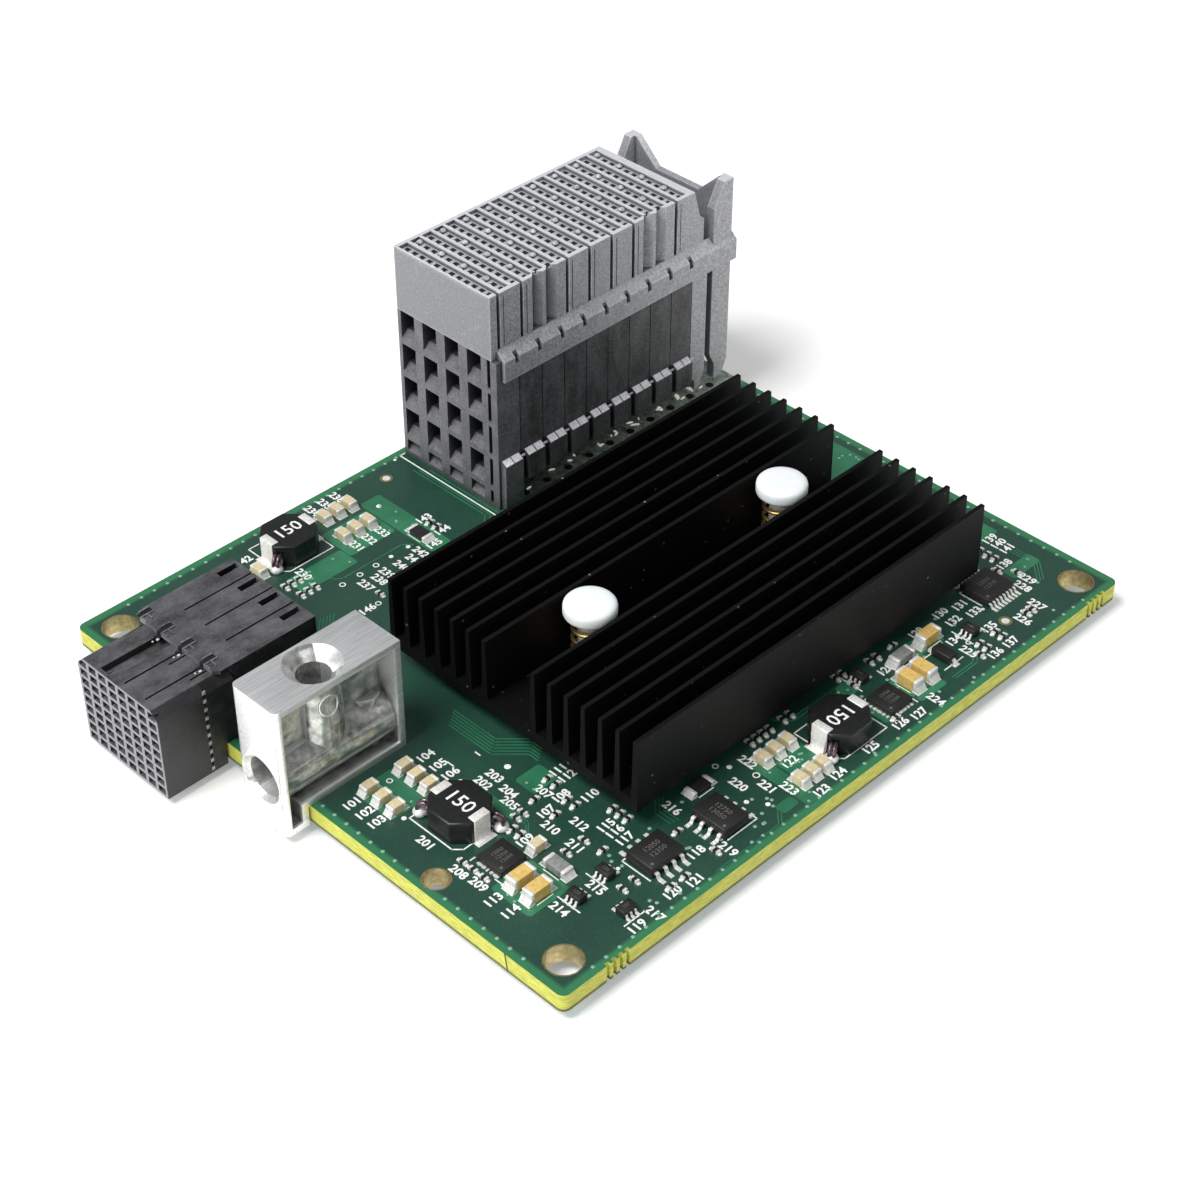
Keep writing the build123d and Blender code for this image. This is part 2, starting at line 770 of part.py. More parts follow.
# Rear shell: a cover open below and in front, whose roof laps over the front housing
shell_x0 = side_joint_x + shell_clear
shell_y = spot(0, shell_middle)[1]
shell_roof = side_roof + shell_lift
with BuildPart() as side_shell:
    with BuildSketch(Plane.XY.offset(board_top)):
        with Locations((shell_x0, shell_y)):
            Rectangle(side_rear_x - shell_x0, shell_width, align=(Align.MIN, Align.CENTER))
    extrude(amount=shell_roof - board_top)
    with BuildSketch(Plane.XY.offset(board_top)):
        with Locations((shell_x0, shell_y)):
            Rectangle(
                side_rear_x - shell_x0 - shell_wall,
                shell_width - 2 * shell_wall,
                align=(Align.MIN, Align.CENTER),
            )
    extrude(amount=shell_roof - board_top - shell_wall, mode=Mode.SUBTRACT)
    # The lip over the front housing, parted by a slit at each of its grooves
    with BuildSketch(Plane.XY.offset(side_roof)):
        with BuildLine():
            Polyline(
                (shell_x0, shell_y - shell_width / 2),
                (lip_x0 + shell_wall, shell_y - shell_width / 2),
                (lip_x0, shell_y - shell_width / 2 + shell_wall),
                (lip_x0, shell_y + shell_width / 2 - shell_wall),
                (shell_x0 - shell_wall, shell_y + shell_width / 2),
                (shell_x0, shell_y + shell_width / 2),
                close=True,
            )
        make_face()
    extrude(amount=shell_lift)
    with BuildSketch(Plane.XY.offset(shell_roof)):
        with Locations((lip_x0 + shell_lip / 2, spot(0, shell_slit_middle)[1])):
            with GridLocations(1, shell_slit_pitch, 1, shell_slits):
                Rectangle(shell_lip, shell_slit_wide)
    extrude(amount=-shell_lift, mode=Mode.SUBTRACT)
    # Seams between the roof's staves, and a window at the rear of each stave
    with BuildSketch(Plane.XY.offset(shell_roof)):
        for step in range(shell_seams):
            seam = shell_middle + (step - (shell_seams - 1) / 2) * shell_seam_pitch
            seam_start = shell_x0 + shell_seam_start
            roof_strip(seam_start, seam, side_rear_x - seam_start, side_groove_wide)
    extrude(amount=-side_groove_deep, mode=Mode.SUBTRACT)
    with BuildSketch(Plane.XY.offset(shell_roof)):
        for step in range(shell_seams + 1):
            seam = shell_middle + (step - (shell_seams - 1) / 2) * shell_seam_pitch
            window_start = side_rear_x - shell_window_inset - shell_window_long
            roof_strip(window_start, seam - shell_window_lag, shell_window_long, shell_window_wide)
    extrude(amount=-shell_wall, mode=Mode.SUBTRACT)
save(side_shell, "side_rear_shell")

# Wafers that stand under the shell, one to a column
with BuildPart() as side_wafers:
    with BuildSketch(Plane.XY.offset(board_top)):
        with Locations(((shell_x0 + side_rear_x - shell_wall) / 2, shell_y)):
            with GridLocations(1, side_column_pitch, 1, side_columns - 1):
                Rectangle(side_rear_x - shell_wall - shell_x0 - 2 * shell_clear, side_wafer_thick)
    extrude(amount=shell_roof - board_top - shell_wall - shell_clear)
save(side_wafers, "side_wafers")

side_tail_run = side_rear_x - shell_x0 - 2 * side_column_pitch
with BuildPart() as side_tails:
    with BuildSketch():
        with Locations(((shell_x0 + side_rear_x) / 2, side_y)):
            with GridLocations(
                side_tail_run / (side_tails_deep - 1), side_column_pitch, side_tails_deep, side_columns
            ):
                Rectangle(tail_side, tail_side)
    extrude(amount=-under_reach)
save(side_tails, "side_tail_tips")

# Guide block: a cast frame with pockets in both flanks, a pin bore and a boss from above
guide_top = board_top + guide_height
guide_base = board_top - guide_drop
guide_x1 = guide_x + guide_length
guide_edge_x = spot(0, 0)[0] - side_lip_clear
bore_z = board_top + guide_bore_height
top_hole_floor = bore_z + guide_bore / 2 + guide_tube_wall
top_hole_x = guide_x + guide_top_place
pocket_depth = (guide_width - guide_web) / 2
sink_depth = (guide_top_sink - guide_top_hole) / 2


def guide_outline(inset):
    """Side view of the block, stepped over the board's edge, drawn in by inset."""
    Polyline(
        (guide_x + inset, guide_base + inset),
        (guide_x + inset, guide_top - inset),
        (guide_x1 - inset, guide_top - inset),
        (guide_x1 - inset, board_top + inset),
        (guide_edge_x - inset, board_top + inset),
        (guide_edge_x - inset, guide_base + inset),
        close=True,
    )


with BuildPart() as guide_block:
    with BuildSketch(Plane.XZ.offset(-(guide_y + guide_width / 2))):
        with BuildLine():
            guide_outline(0)
        make_face()
    extrude(amount=guide_width)
    front_corners = guide_block.edges().filter_by(Axis.Z).group_by(Axis.X)[0]
    fillet(front_corners, guide_edge_round)
    for pocket_start in (guide_y + guide_width / 2, guide_y - guide_web / 2):
        with BuildSketch(Plane.XZ.offset(-pocket_start)):
            with BuildLine():
                guide_outline(guide_skin)
            make_face()
        extrude(amount=pocket_depth, mode=Mode.SUBTRACT)
    # The tube round the pin bore and the boss under the top hole stand in the pockets
    with BuildSketch(Plane.YZ.offset(guide_x)):
        with Locations((guide_y, bore_z)):
            Circle(guide_bore / 2 + guide_tube_wall)
    extrude(amount=guide_length)
    with BuildSketch(Plane.XY.offset(bore_z)):
        with Locations((top_hole_x, guide_y)):
            Circle(guide_top_hole / 2 + guide_boss_wall)
    extrude(amount=guide_top - bore_z)
    with BuildSketch(Plane.XY.offset(board_top)):
        with Locations(guide_screw_spot):
            RegularPolygon(guide_column / 2, stem_sides)
    extrude(amount=guide_column_height)
    with BuildSketch(Plane.YZ.offset(guide_x)):
        with Locations((guide_y, bore_z)):
            Circle(guide_bore / 2)
    extrude(amount=guide_bore_depth, mode=Mode.SUBTRACT)
    with BuildSketch(Plane.YZ.offset(guide_x)):
        with Locations((guide_y, bore_z)):
            Circle(guide_bore / 2 + guide_bore_chamfer)
    extrude(amount=guide_bore_chamfer, taper=45, mode=Mode.SUBTRACT)
    with BuildSketch(Plane.XY.offset(board_top)):
        with Locations(guide_screw_spot):
            RegularPolygon(guide_screw / 2, stem_sides)
    extrude(amount=guide_screw_grip, mode=Mode.SUBTRACT)
    with BuildSketch(Plane.XY.offset(top_hole_floor)):
        with Locations((top_hole_x, guide_y)):
            Circle(guide_top_hole / 2)
    extrude(amount=guide_top - top_hole_floor, mode=Mode.SUBTRACT)
    with Locations((top_hole_x, guide_y, guide_top - sink_depth)):
        Cone(
            guide_top_hole / 2,
            guide_top_sink / 2,
            sink_depth,
            align=(Align.CENTER, Align.CENTER, Align.MIN),
            mode=Mode.SUBTRACT,
        )
save(guide_block, "guide_block")

# The screw that holds the guide block down, its head under the board
with BuildPart() as guide_fixing:
    with BuildSketch(Plane.XY.offset(-under_reach)):
        with Locations(guide_screw_spot):
            Circle(guide_screw_head / 2)
    extrude(amount=under_reach)
    with BuildSketch():
        with Locations(guide_screw_spot):
            RegularPolygon(guide_screw / 2, stem_sides)
    extrude(amount=board_thick + guide_screw_grip)
    with BuildSketch(Plane.XY.offset(-under_reach)):
        with Locations(guide_screw_spot):
            Rectangle(guide_screw_head, driver_slot)
    extrude(amount=under_reach / 2, mode=Mode.SUBTRACT)
save(guide_fixing, "guide_screw")

# Chokes: an eight-sided pressed body with an arch at each end where the coil comes out
choke_spots = turned(choke_places)
choke_base = Plane.XY.offset(board_top)
with BuildPart() as choke_body:
    with BuildSketch(choke_base) as choke_plan:
        Rectangle(choke_length, choke_width)
        chamfer(choke_plan.vertices(), choke_corner)
    extrude(amount=choke_height)
    chamfer(choke_body.faces().sort_by(Axis.Z)[-1].edges(), choke_edge)
    for end in (-1, 1):
        with BuildSketch(Plane.YZ.offset(end * choke_length / 2)):
            with Locations((end * choke_arch_shift, board_top)):
                Rectangle(choke_arch_wide, choke_arch_top, align=(Align.CENTER, Align.MIN))
        extrude(amount=-end * choke_arch_deep, mode=Mode.SUBTRACT)

with BuildPart() as choke_bodies:
    with Locations(*choke_spots):
        add(choke_body.part)
save(choke_bodies, "choke_bodies")

# Clips: a strap from a foot on the board, up the body's end and over its top edge
with BuildPart() as choke_clip:
    with BuildSketch(Plane.XZ.offset(-clip_width / 2)):
        with BuildLine():
            Polyline(
                (choke_length / 2, board_top),
                (choke_length / 2, board_top + choke_height),
                (choke_length / 2 - clip_hook, board_top + choke_height),
                (choke_length / 2 - clip_hook, board_top + choke_height + clip_thick),
                (choke_length / 2 + clip_thick, board_top + choke_height + clip_thick),
                (choke_length / 2 + clip_thick, board_top + clip_thick),
                (choke_length / 2 + clip_foot, board_top + clip_thick),
                (choke_length / 2 + clip_foot, board_top),
                close=True,
            )
        make_face()
    extrude(amount=clip_width)

with BuildPart() as choke_clips:
    with Locations(*choke_spots):
        with PolarLocations(0, 2):
            add(choke_clip.part)
save(choke_clips, "choke_clips")

# Ends of the coil wire, standing in the arches
with BuildPart() as coil_stub:
    with BuildSketch(Plane.XY.offset(board_top)):
        RegularPolygon(coil_end / 2, stem_sides)
    extrude(amount=coil_end_tall)

with BuildPart() as choke_coil_ends:
    with Locations(*choke_spots):
        with PolarLocations(0, 2):
            with Locations((choke_length / 2, choke_arch_shift)):
                add(coil_stub.part)
save(choke_coil_ends, "choke_coil_ends")


def chip_middles(places, size):
    """The bodies of two-ended chip parts, without their metal ends."""
    length, width, tall, end = size
    with BuildPart() as middles:
        with BuildSketch(Plane.XY.offset(board_top)):
            with Locations(*turned(places)):
                Rectangle(length - 2 * end, width)
        extrude(amount=tall)
    return middles


def chip_ends(places, size):
    """The metal ends of the same parts."""
    length, width, tall, end = size
    with BuildPart() as ends:
        with BuildSketch(Plane.XY.offset(board_top)):
            with Locations(*turned(places)):
                with GridLocations(length - end, 1, 2, 1):
                    Rectangle(end, width)
        extrude(amount=tall)
    return ends


tiny_places = []
for (first_x, first_y), (step_x, step_y), count, turn in tiny_rows:
    for index in range(count):
        tiny_places.append((first_x + index * step_x, first_y + index * step_y, turn))

with BuildPart() as tiny_chips:
    with BuildSketch(Plane.XY.offset(board_top)):
        with Locations(*turned(tiny_places)):
            Rectangle(tiny_length, tiny_width)
    extrude(amount=tiny_tall)
save(tiny_chips, "tiny_chips")

for kind, places, size in (
    ("capacitor_small", small_cap_places, small_cap_size),
    ("capacitor_large", large_cap_places, large_cap_size),
    ("bead", bead_places, bead_size),
    ("resistor", resistor_places, resistor_size),
):
    save(chip_middles(places, size), kind + "_bodies")
    save(chip_ends(places, size), kind + "_ends")


def moulded_bodies(places, body):
    """Moulded chip bodies, held a little off the board by their leads."""
    length, width, tall = body
    with BuildPart() as bodies:
        with BuildSketch(Plane.XY.offset(board_top + chip_standoff)):
            with Locations(*turned(places)):
                Rectangle(length, width)
        extrude(amount=tall)
    return bodies


def gull_lead(body, wide, reach):
    """One lead, sloping from the body's mid-height down to the board."""
    length, width, tall = body
    exit_height = board_top + chip_standoff + tall / 2
    start = width / 2
    with BuildPart() as lead:
        with BuildSketch(Plane.YZ.offset(-wide / 2)):
            with BuildLine():
                Polyline(
                    (start, exit_height),
                    (start + reach, board_top + lead_thick),
                    (start + reach, board_top),
                    (start, exit_height - lead_thick),
                    close=True,
                )
            make_face()
        extrude(amount=wide)
    return lead.part


def lead_rows(places, body, leads):
    """Rows of leads along both long sides of each chip."""
    count, pitch, wide, reach = leads
    one = gull_lead(body, wide, reach)
    with BuildPart() as rows:
        with Locations(*turned(places)):
            with PolarLocations(0, 2):
                with GridLocations(pitch, 1, count, 1):
                    add(one)
    return rows


for kind, places, body, leads in (
    ("so8", so_places, so_body, so_leads),
    ("tssop", tssop_places, tssop_body, tssop_leads),
    ("sc70", sc_places, sc_body, sc_leads),
):
    save(moulded_bodies(places, body), kind + "_bodies")
    save(lead_rows(places, body, leads), kind + "_leads")

# Diode: a moulded body with one broad lead at each end
save(moulded_bodies(diode_places, diode_body), "diode_body")
diode_wide, diode_reach = diode_leads
diode_lead = gull_lead((diode_body[1], diode_body[0], diode_body[2]), diode_wide, diode_reach)
with BuildPart() as diode_ends:
    with Locations(*turned([(x, y, turn + 90) for x, y, turn in diode_places])):
        with PolarLocations(0, 2):
            add(diode_lead)
save(diode_ends, "diode_leads")

# Flat chips without leads
with BuildPart() as flat_chips:
    with BuildSketch(Plane.XY.offset(board_top)):
        with Locations(*[spot(x, y) for x, y in flat_places]):
            Rectangle(flat_side, flat_side)
    extrude(amount=flat_height)
save(flat_chips, "flat_chips")
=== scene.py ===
# %% [markdown]
# A mezzanine network card is a small thick circuit board that stands on posts inside a
# server. It carries a black finned heat sink, a tall grey connector built from moulded
# slices, a low dark connector that overhangs one edge, and a cast block that guides it home.
# The packed CAD model gives every main form, so this lesson loads it as a fixed frame and
# adds what a camera sees up close: copper under the mask, white print, solder and surfaces.
# Lengths are written in millimetres and turned into metres in one place.

# %% Load the frame
import random
from math import pi, radians

import bmesh
import bpy
from mathutils import Matrix, Vector


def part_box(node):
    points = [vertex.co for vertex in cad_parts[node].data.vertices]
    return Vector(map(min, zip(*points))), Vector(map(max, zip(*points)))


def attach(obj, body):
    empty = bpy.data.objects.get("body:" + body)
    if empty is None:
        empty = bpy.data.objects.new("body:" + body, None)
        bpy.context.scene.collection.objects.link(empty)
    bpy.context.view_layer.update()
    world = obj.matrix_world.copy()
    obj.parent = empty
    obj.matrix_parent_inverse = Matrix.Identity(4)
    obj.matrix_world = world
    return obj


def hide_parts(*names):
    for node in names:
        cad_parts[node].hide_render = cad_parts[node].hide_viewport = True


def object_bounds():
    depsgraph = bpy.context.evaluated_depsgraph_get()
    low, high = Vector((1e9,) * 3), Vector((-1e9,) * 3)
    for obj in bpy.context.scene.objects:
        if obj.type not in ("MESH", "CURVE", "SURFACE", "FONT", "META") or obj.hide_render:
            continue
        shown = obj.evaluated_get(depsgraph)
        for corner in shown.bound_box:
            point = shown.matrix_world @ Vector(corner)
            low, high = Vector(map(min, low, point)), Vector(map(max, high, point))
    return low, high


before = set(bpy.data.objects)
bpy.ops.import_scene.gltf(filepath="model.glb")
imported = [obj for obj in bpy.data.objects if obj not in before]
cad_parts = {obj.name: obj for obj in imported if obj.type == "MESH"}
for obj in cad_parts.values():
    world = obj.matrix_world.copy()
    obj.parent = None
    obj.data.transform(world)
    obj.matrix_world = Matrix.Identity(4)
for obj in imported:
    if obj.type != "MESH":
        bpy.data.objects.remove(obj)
cad_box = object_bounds()
mm = 0.001
hole_inset = 3.7
board_size = (95.0, 82.7)
board_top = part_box("circuit_board")[1].z
board_thick = board_top / mm
print("nodes loaded:", len(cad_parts), "board top at", round(board_top, 5))

# %% [markdown]
# Every place on the board is easier to read from its front corner than from the hole that
# holds the frame's origin. One short function turns a place in millimetres from that corner,
# and a height over the board's top face, into a point of the frame.

# %% Places on the board


def on_board(x, y, height=0.0):
    """A point from the board's front corner and its top face, in millimetres."""
    return Vector(((x - hole_inset) * mm, (y - hole_inset) * mm, board_top + height * mm))


print("board's far corner:", [round(v, 4) for v in on_board(*board_size)])

# %% [markdown]
# The photograph was taken from over the front corner with a lens long enough to keep the
# board's edges nearly parallel. The camera is placed by its own position and by a point that
# it looks at, and is rolled by a hair, because a hand-held picture is seldom quite level.

# %% Camera
eye = Vector((-0.11719, -0.12094, 0.18630))
look = Vector((0.55210, 0.54619, -0.62997)).normalized()
right = Vector((0.70495, -0.70925, 0.00288)).normalized()
upward = right.cross(look)
camera = bpy.data.cameras.new("camera")
camera.lens = 72.52
camera.sensor_width = 36.0
camera.clip_start = 0.01
camera_object = bpy.data.objects.new("camera", camera)
turn = Matrix((right, upward, -look)).transposed().to_4x4()
camera_object.matrix_world = Matrix.Translation(eye) @ turn
bpy.context.scene.collection.objects.link(camera_object)
bpy.context.scene.camera = camera_object
print("camera distance to the board:", round((eye - on_board(47, 42)).length, 3))

# %% [markdown]
# Shader maths reads best as plain arithmetic. A small class holds one socket and gives it the
# usual signs, so that a mask can be written as 1 - rim * wear. Colours are given as they
# look on a screen, and one function makes them linear.

# %% Shader maths


def tone(red, green, blue):
    """A colour given as screen values from 0 to 255, made linear."""
    steps = [value / 255 for value in (red, green, blue)]
    return tuple(s / 12.92 if s < 0.04045 else ((s + 0.055) / 1.055) ** 2.4 for s in steps) + (1.0,)


class Wire:
    """One output socket that can stand in a sum, a product or a comparison."""

    def __init__(self, finish, socket):
        self.finish = finish
        self.socket = socket

    def maths(self, operation, *values):
        return self.finish.node("ShaderNodeMath", {"operation": operation}, dict(enumerate(values)))

    def __add__(self, other):
        return self.maths("ADD", self, other)

    def __radd__(self, other):
        return self.maths("ADD", other, self)

    def __sub__(self, other):
        return self.maths("SUBTRACT", self, other)

    def __rsub__(self, other):
        return self.maths("SUBTRACT", other, self)

    def __mul__(self, other):
        return self.maths("MULTIPLY", self, other)

    def __rmul__(self, other):
        return self.maths("MULTIPLY", other, self)

    def __gt__(self, other):
        return self.maths("GREATER_THAN", self, other)

    def __lt__(self, other):
        return self.maths("LESS_THAN", self, other)

    def __abs__(self):
        return self.maths("ABSOLUTE", self)

    def least(self, other):
        return self.maths("MINIMUM", self, other)

    def most(self, other):
        return self.maths("MAXIMUM", self, other)

    def ramp(self, low, high):
        """0 below low, 1 above high and a straight climb between them."""
        settings = {"clamp": True}
        values = {"Value": self, "From Min": low, "From Max": high}
        return self.finish.node("ShaderNodeMapRange", settings, values)


print("white made linear:", tone(255, 255, 255))

# %% [markdown]
# A second class holds a material. It adds any node from its type, its settings and the values
# of its sockets, and it knows the few recipes that every finish here needs: noise at a size
# in millimetres, round specks, masks for painted shade in crevices and for painted highlights
# on outer edges, and a fine relief.

# %% Finish tools


class Finish:
    """A material and the nodes that make its look."""

    def __init__(self, name):
        self.material = bpy.data.materials.new(name)
        self.material.use_nodes = True
        self.tree = self.material.node_tree
        self.shader = self.tree.nodes["Principled BSDF"]

    def node(self, kind, settings=None, values=None, output=0):
        made = self.tree.nodes.new(kind)
        for key, value in (settings or {}).items():
            setattr(made, key, value)
        for key, value in (values or {}).items():
            self.feed(made.inputs[key], value)
        return Wire(self, made.outputs[output])

    def feed(self, socket, value):
        if isinstance(value, Wire):
            self.tree.links.new(value.socket, socket)
        else:
            socket.default_value = value

    def set(self, **values):
        for key, value in values.items():
            self.feed(self.shader.inputs[key.replace("_", " ")], value)
        return self

    def place(self, stretch=(1.0, 1.0, 1.0)):
        """Object coordinates in millimetres, squeezed or stretched along each axis."""
        point = self.node("ShaderNodeTexCoord", output="Object")
        scale = tuple(value / mm for value in stretch)
        return self.node("ShaderNodeMapping", {}, {"Vector": point, "Scale": scale})

    def axis(self, name):
        return self.node("ShaderNodeSeparateXYZ", {}, {"Vector": self.place()}, output=name)

    def facing(self, name):
        """How far the surface faces along an axis of the frame, from -1 to 1."""
        normal = self.node("ShaderNodeTexCoord", output="Normal")
        return self.node("ShaderNodeSeparateXYZ", {}, {"Vector": normal}, output=name)

    def noise(self, grain, detail=3.0, stretch=(1.0, 1.0, 1.0), rough=0.55):
        """Noise from 0 to 1 whose lumps are about grain millimetres across."""
        values = {"Vector": self.place(stretch), "Scale": 1 / grain}
        values["Detail"] = detail
        values["Roughness"] = rough
        return self.node("ShaderNodeTexNoise", {}, values)

    def specks(self, pitch, size):
        """1 inside small round specks about pitch millimetres apart."""
        values = {"Vector": self.place(), "Scale": 1 / pitch}
        return self.node("ShaderNodeTexVoronoi", {}, values).ramp(size + 0.06, size)

    def mix(self, factor, first, second):
        values = {"Factor": factor, 6: first, 7: second}
        return self.node("ShaderNodeMix", {"data_type": "RGBA"}, values, output=2)

    def painted_gap_shade(self, reach):
        """1 in corners and slots that are narrower than reach millimetres, 0 in the open."""
        # This mask places painted shade in narrow gaps and corners.
        values = {"Distance": reach * mm}
        open_share = self.node("ShaderNodeAmbientOcclusion", {"samples": 4}, values, output="AO")
        return open_share.ramp(0.95, 0.35)

    def painted_edge_highlight(self, reach):
        """1 on outer edges, within about reach millimetres of them, 0 on open faces."""
        # This mask places painted highlights along outer edges.
        values = {"Distance": reach * mm}
        shape = {"samples": 4, "inside": True}
        inner_share = self.node("ShaderNodeAmbientOcclusion", shape, values, output="AO")
        return inner_share.ramp(0.9, 0.45)

    def relief(self, height, depth):
        """Bump of about depth millimetres from a height between 0 and 1."""
        values = {"Height": height, "Distance": depth * mm, "Strength": 1.0}
        return self.set(Normal=self.node("ShaderNodeBump", {}, values))

    def dress(self, *names):
        for name in names:
            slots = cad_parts[name].data.materials
            slots.clear()
            slots.append(self.material)
        return self


print("finish tools:", [name for name in vars(Finish) if not name.startswith("_")])

# %% [markdown] The photograph has a white ground, with only a thin grey shadow under the
# board's edges. A large white floor that glows a little gives that look.

# %% Floor
floor_level = cad_box[0].z - 0.00005
floor_mesh = bmesh.new()
bmesh.ops.create_grid(floor_mesh, x_segments=1, y_segments=1, size=3.0)
bmesh.ops.translate(floor_mesh, verts=floor_mesh.verts, vec=(0, 0, floor_level))
floor_data = bpy.data.meshes.new("studio_floor")
floor_mesh.to_mesh(floor_data)
floor_mesh.free()
studio_floor = bpy.data.objects.new("studio_floor", floor_data)
bpy.context.scene.collection.objects.link(studio_floor)
floor_finish = Finish("studio_floor")
floor_finish.set(
    Base_Color=(0.95, 0.95, 0.95, 1.0),
    Roughness=0.9,
    Emission_Color=(1.0, 1.0, 1.0, 1.0),
    Emission_Strength=0.22,
)
floor_data.materials.append(floor_finish.material)
print("floor laid at", round(floor_level, 5))

# %% [markdown]
# The light is soft and comes from all round, brightest from the upper left. A bright sky
# gives that without hard shadows, and three broad lamps give the metal something to show.

# %% Sky and lamps
sky = bpy.data.worlds.new("studio_sky")
sky.use_nodes = True
sky.node_tree.nodes["Background"].inputs["Color"].default_value = (0.97, 0.98, 1.0, 1.0)
sky.node_tree.nodes["Background"].inputs["Strength"].default_value = 0.30
bpy.context.scene.world = sky
bpy.context.scene.view_settings.view_transform = "Standard"

middle = on_board(47, 41)


def lamp(name, place, power, width, tall):
    """A broad lamp that faces the middle of the card."""
    light = bpy.data.lights.new(name, "AREA")
    light.shape = "RECTANGLE"
    light.size = width
    light.size_y = tall
    light.energy = power
    holder = bpy.data.objects.new(name, light)
    holder.location = place
    aim = (middle - Vector(place)).to_track_quat("-Z", "Y")
    holder.rotation_euler = aim.to_euler()
    bpy.context.scene.collection.objects.link(holder)
    return holder


lamp("key_lamp", (-0.42, 0.14, 0.84), 8.8, 0.4, 0.4)
lamp("left_lamp", (-0.75, 0.05, 0.25), 1.6, 0.4, 0.3)
lamp("front_lamp", (-0.10, -0.70, 0.55), 0.9, 0.6, 0.4)
print("lamps placed around", [round(v, 3) for v in middle])

# %% [markdown]
# The board is fibreglass under a green solder mask. Copper lies under the mask, so the mask is
# darker over bare laminate and lighter over copper and along the rim. The sawn edge shows the
# yellowish glass and resin in thin layers. One material does both, because the mesh is one
# solid: it asks which way a face looks, and how near it is to the board's outline.

# %% Board faces
low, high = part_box("circuit_board")
mask = Finish("solder_mask")
sawn = abs(mask.facing("Z")) < 0.5
cloud = mask.noise(11.0, 3).ramp(0.35, 0.7)
weave = mask.noise(0.28, 2, stretch=(1.0, 1.0, 0.2))
face_green = mask.mix(cloud, tone(26, 62, 50), tone(34, 72, 58))
face_green = mask.mix(weave.ramp(0.52, 0.75) * 0.25, face_green, tone(58, 106, 86))
across = mask.axis("X")
along = mask.axis("Y")
rim_x = (across - low.x / mm).least(high.x / mm - across)
rim_y = (along - low.y / mm).least(high.y / mm - along)
rim = rim_x.least(rim_y).ramp(1.25, 0.75)
face_green = mask.mix(rim * 0.75, face_green, tone(52, 128, 84))
print("board faces:", len(mask.tree.nodes), "nodes")

# %% [markdown]
# A pale strip on the upper face, along the tall connector's feet, is partly flux that dried
# after soldering and partly a painted light where the connector shades the board. Its mask is a
# product of ramps along X and Y and of a ragged noise, so that it fades at its ends and never
# looks like a hard stripe.

# %% Dried flux and painted light
ragged_strip_noise = mask.noise(0.8, 4, rough=0.7).ramp(0.3, 0.6)
strip_deep = along.ramp(57.6, 59.2) * along.ramp(65.5, 63.5)
strip_long = across.ramp(47.0, 66.0)
# Pale strip: dried flux, with painted light where the connector shades the board.
flux_and_painted_light = strip_deep * strip_long * ragged_strip_noise * (mask.facing("Z") > 0.5)
face_green = mask.mix(flux_and_painted_light * 0.95, face_green, tone(200, 212, 196))
print("with flux:", len(mask.tree.nodes), "nodes")

# %% [markdown]
# The sawn edge is pale in thin layers and goes dark along its foot. Noise squeezed along Z
# draws the layers, a second noise the cut glass, and the two looks are joined by direction.

# %% Board edge
layers = mask.noise(0.16, 3, stretch=(0.12, 0.12, 1.0))
glass = mask.noise(0.5, 3, stretch=(1.0, 1.0, 0.6))
edge_tone = mask.mix(layers.ramp(0.35, 0.65), tone(170, 170, 66), tone(208, 210, 92))
edge_tone = mask.mix(glass.ramp(0.6, 0.75) * 0.6, edge_tone, tone(214, 206, 160))
foot_line = mask.axis("Z").ramp(0.5, 0.25)
edge_tone = mask.mix(foot_line * 0.85, edge_tone, tone(52, 54, 26))
mask.set(
    Base_Color=mask.mix(sawn, face_green, edge_tone),
    Roughness=sawn * 0.3 + 0.38 + cloud * 0.06,
    Coat_Weight=(1 - sawn) * 0.15,
    Coat_Roughness=0.2,
)
mask.relief(mask.noise(0.7, 3), 0.02)
mask.dress("circuit_board")

substrate = Finish("chip_laminate")
fibres = substrate.noise(0.4, 4, stretch=(1.0, 0.2, 1.0))
substrate.set(Base_Color=substrate.mix(fibres, tone(30, 70, 50), tone(60, 100, 72)), Roughness=0.5)
substrate.dress("controller_substrate")
print("board finish:", len(mask.tree.nodes), "nodes")

# %% [markdown]
# The heat sink is an aluminium extrusion, dyed black. Fine die lines run along its fins, its
# saw-cut ends are a little rougher, and some pale dust has settled on it. The grain is
# noise stretched far along X, and the dust is a field of very small specks.

# %% Heat sink finish
anodised = Finish("black_anodised")
die_lines = anodised.noise(0.12, 3, stretch=(0.02, 1.0, 1.0))
shade = anodised.noise(6.0, 3)
dust = anodised.specks(1.7, 0.05) * anodised.noise(4.0, 2).ramp(0.5, 0.62)
black = anodised.mix(shade, tone(5, 5, 6), tone(10, 10, 11))
black = anodised.mix(die_lines.ramp(0.5, 0.8) * 0.3, black, tone(18, 18, 19))
anodised.set(
    Base_Color=anodised.mix(dust * 0.7, black, tone(150, 150, 148)),
    Roughness=die_lines * 0.2 + 0.42,
    Specular_IOR_Level=0.16,
)
anodised.relief(die_lines, 0.012)
anodised.dress("heat_sink")
print("heat sink finish:", len(anodised.tree.nodes), "nodes")

# %% [markdown]
# Three plastics appear on the card. The tall connector is a glass-filled grey, the low one a
# darker grey, and the push pins plain white nylon. Glass-filled parts are never even: the
# fibres float to the skin as faint streaks and pale specks, and handling leaves lighter
# scuffs. One recipe makes all of the greys, from a colour pair and the amount of scuffing.

# %% Recipe for moulded plastic


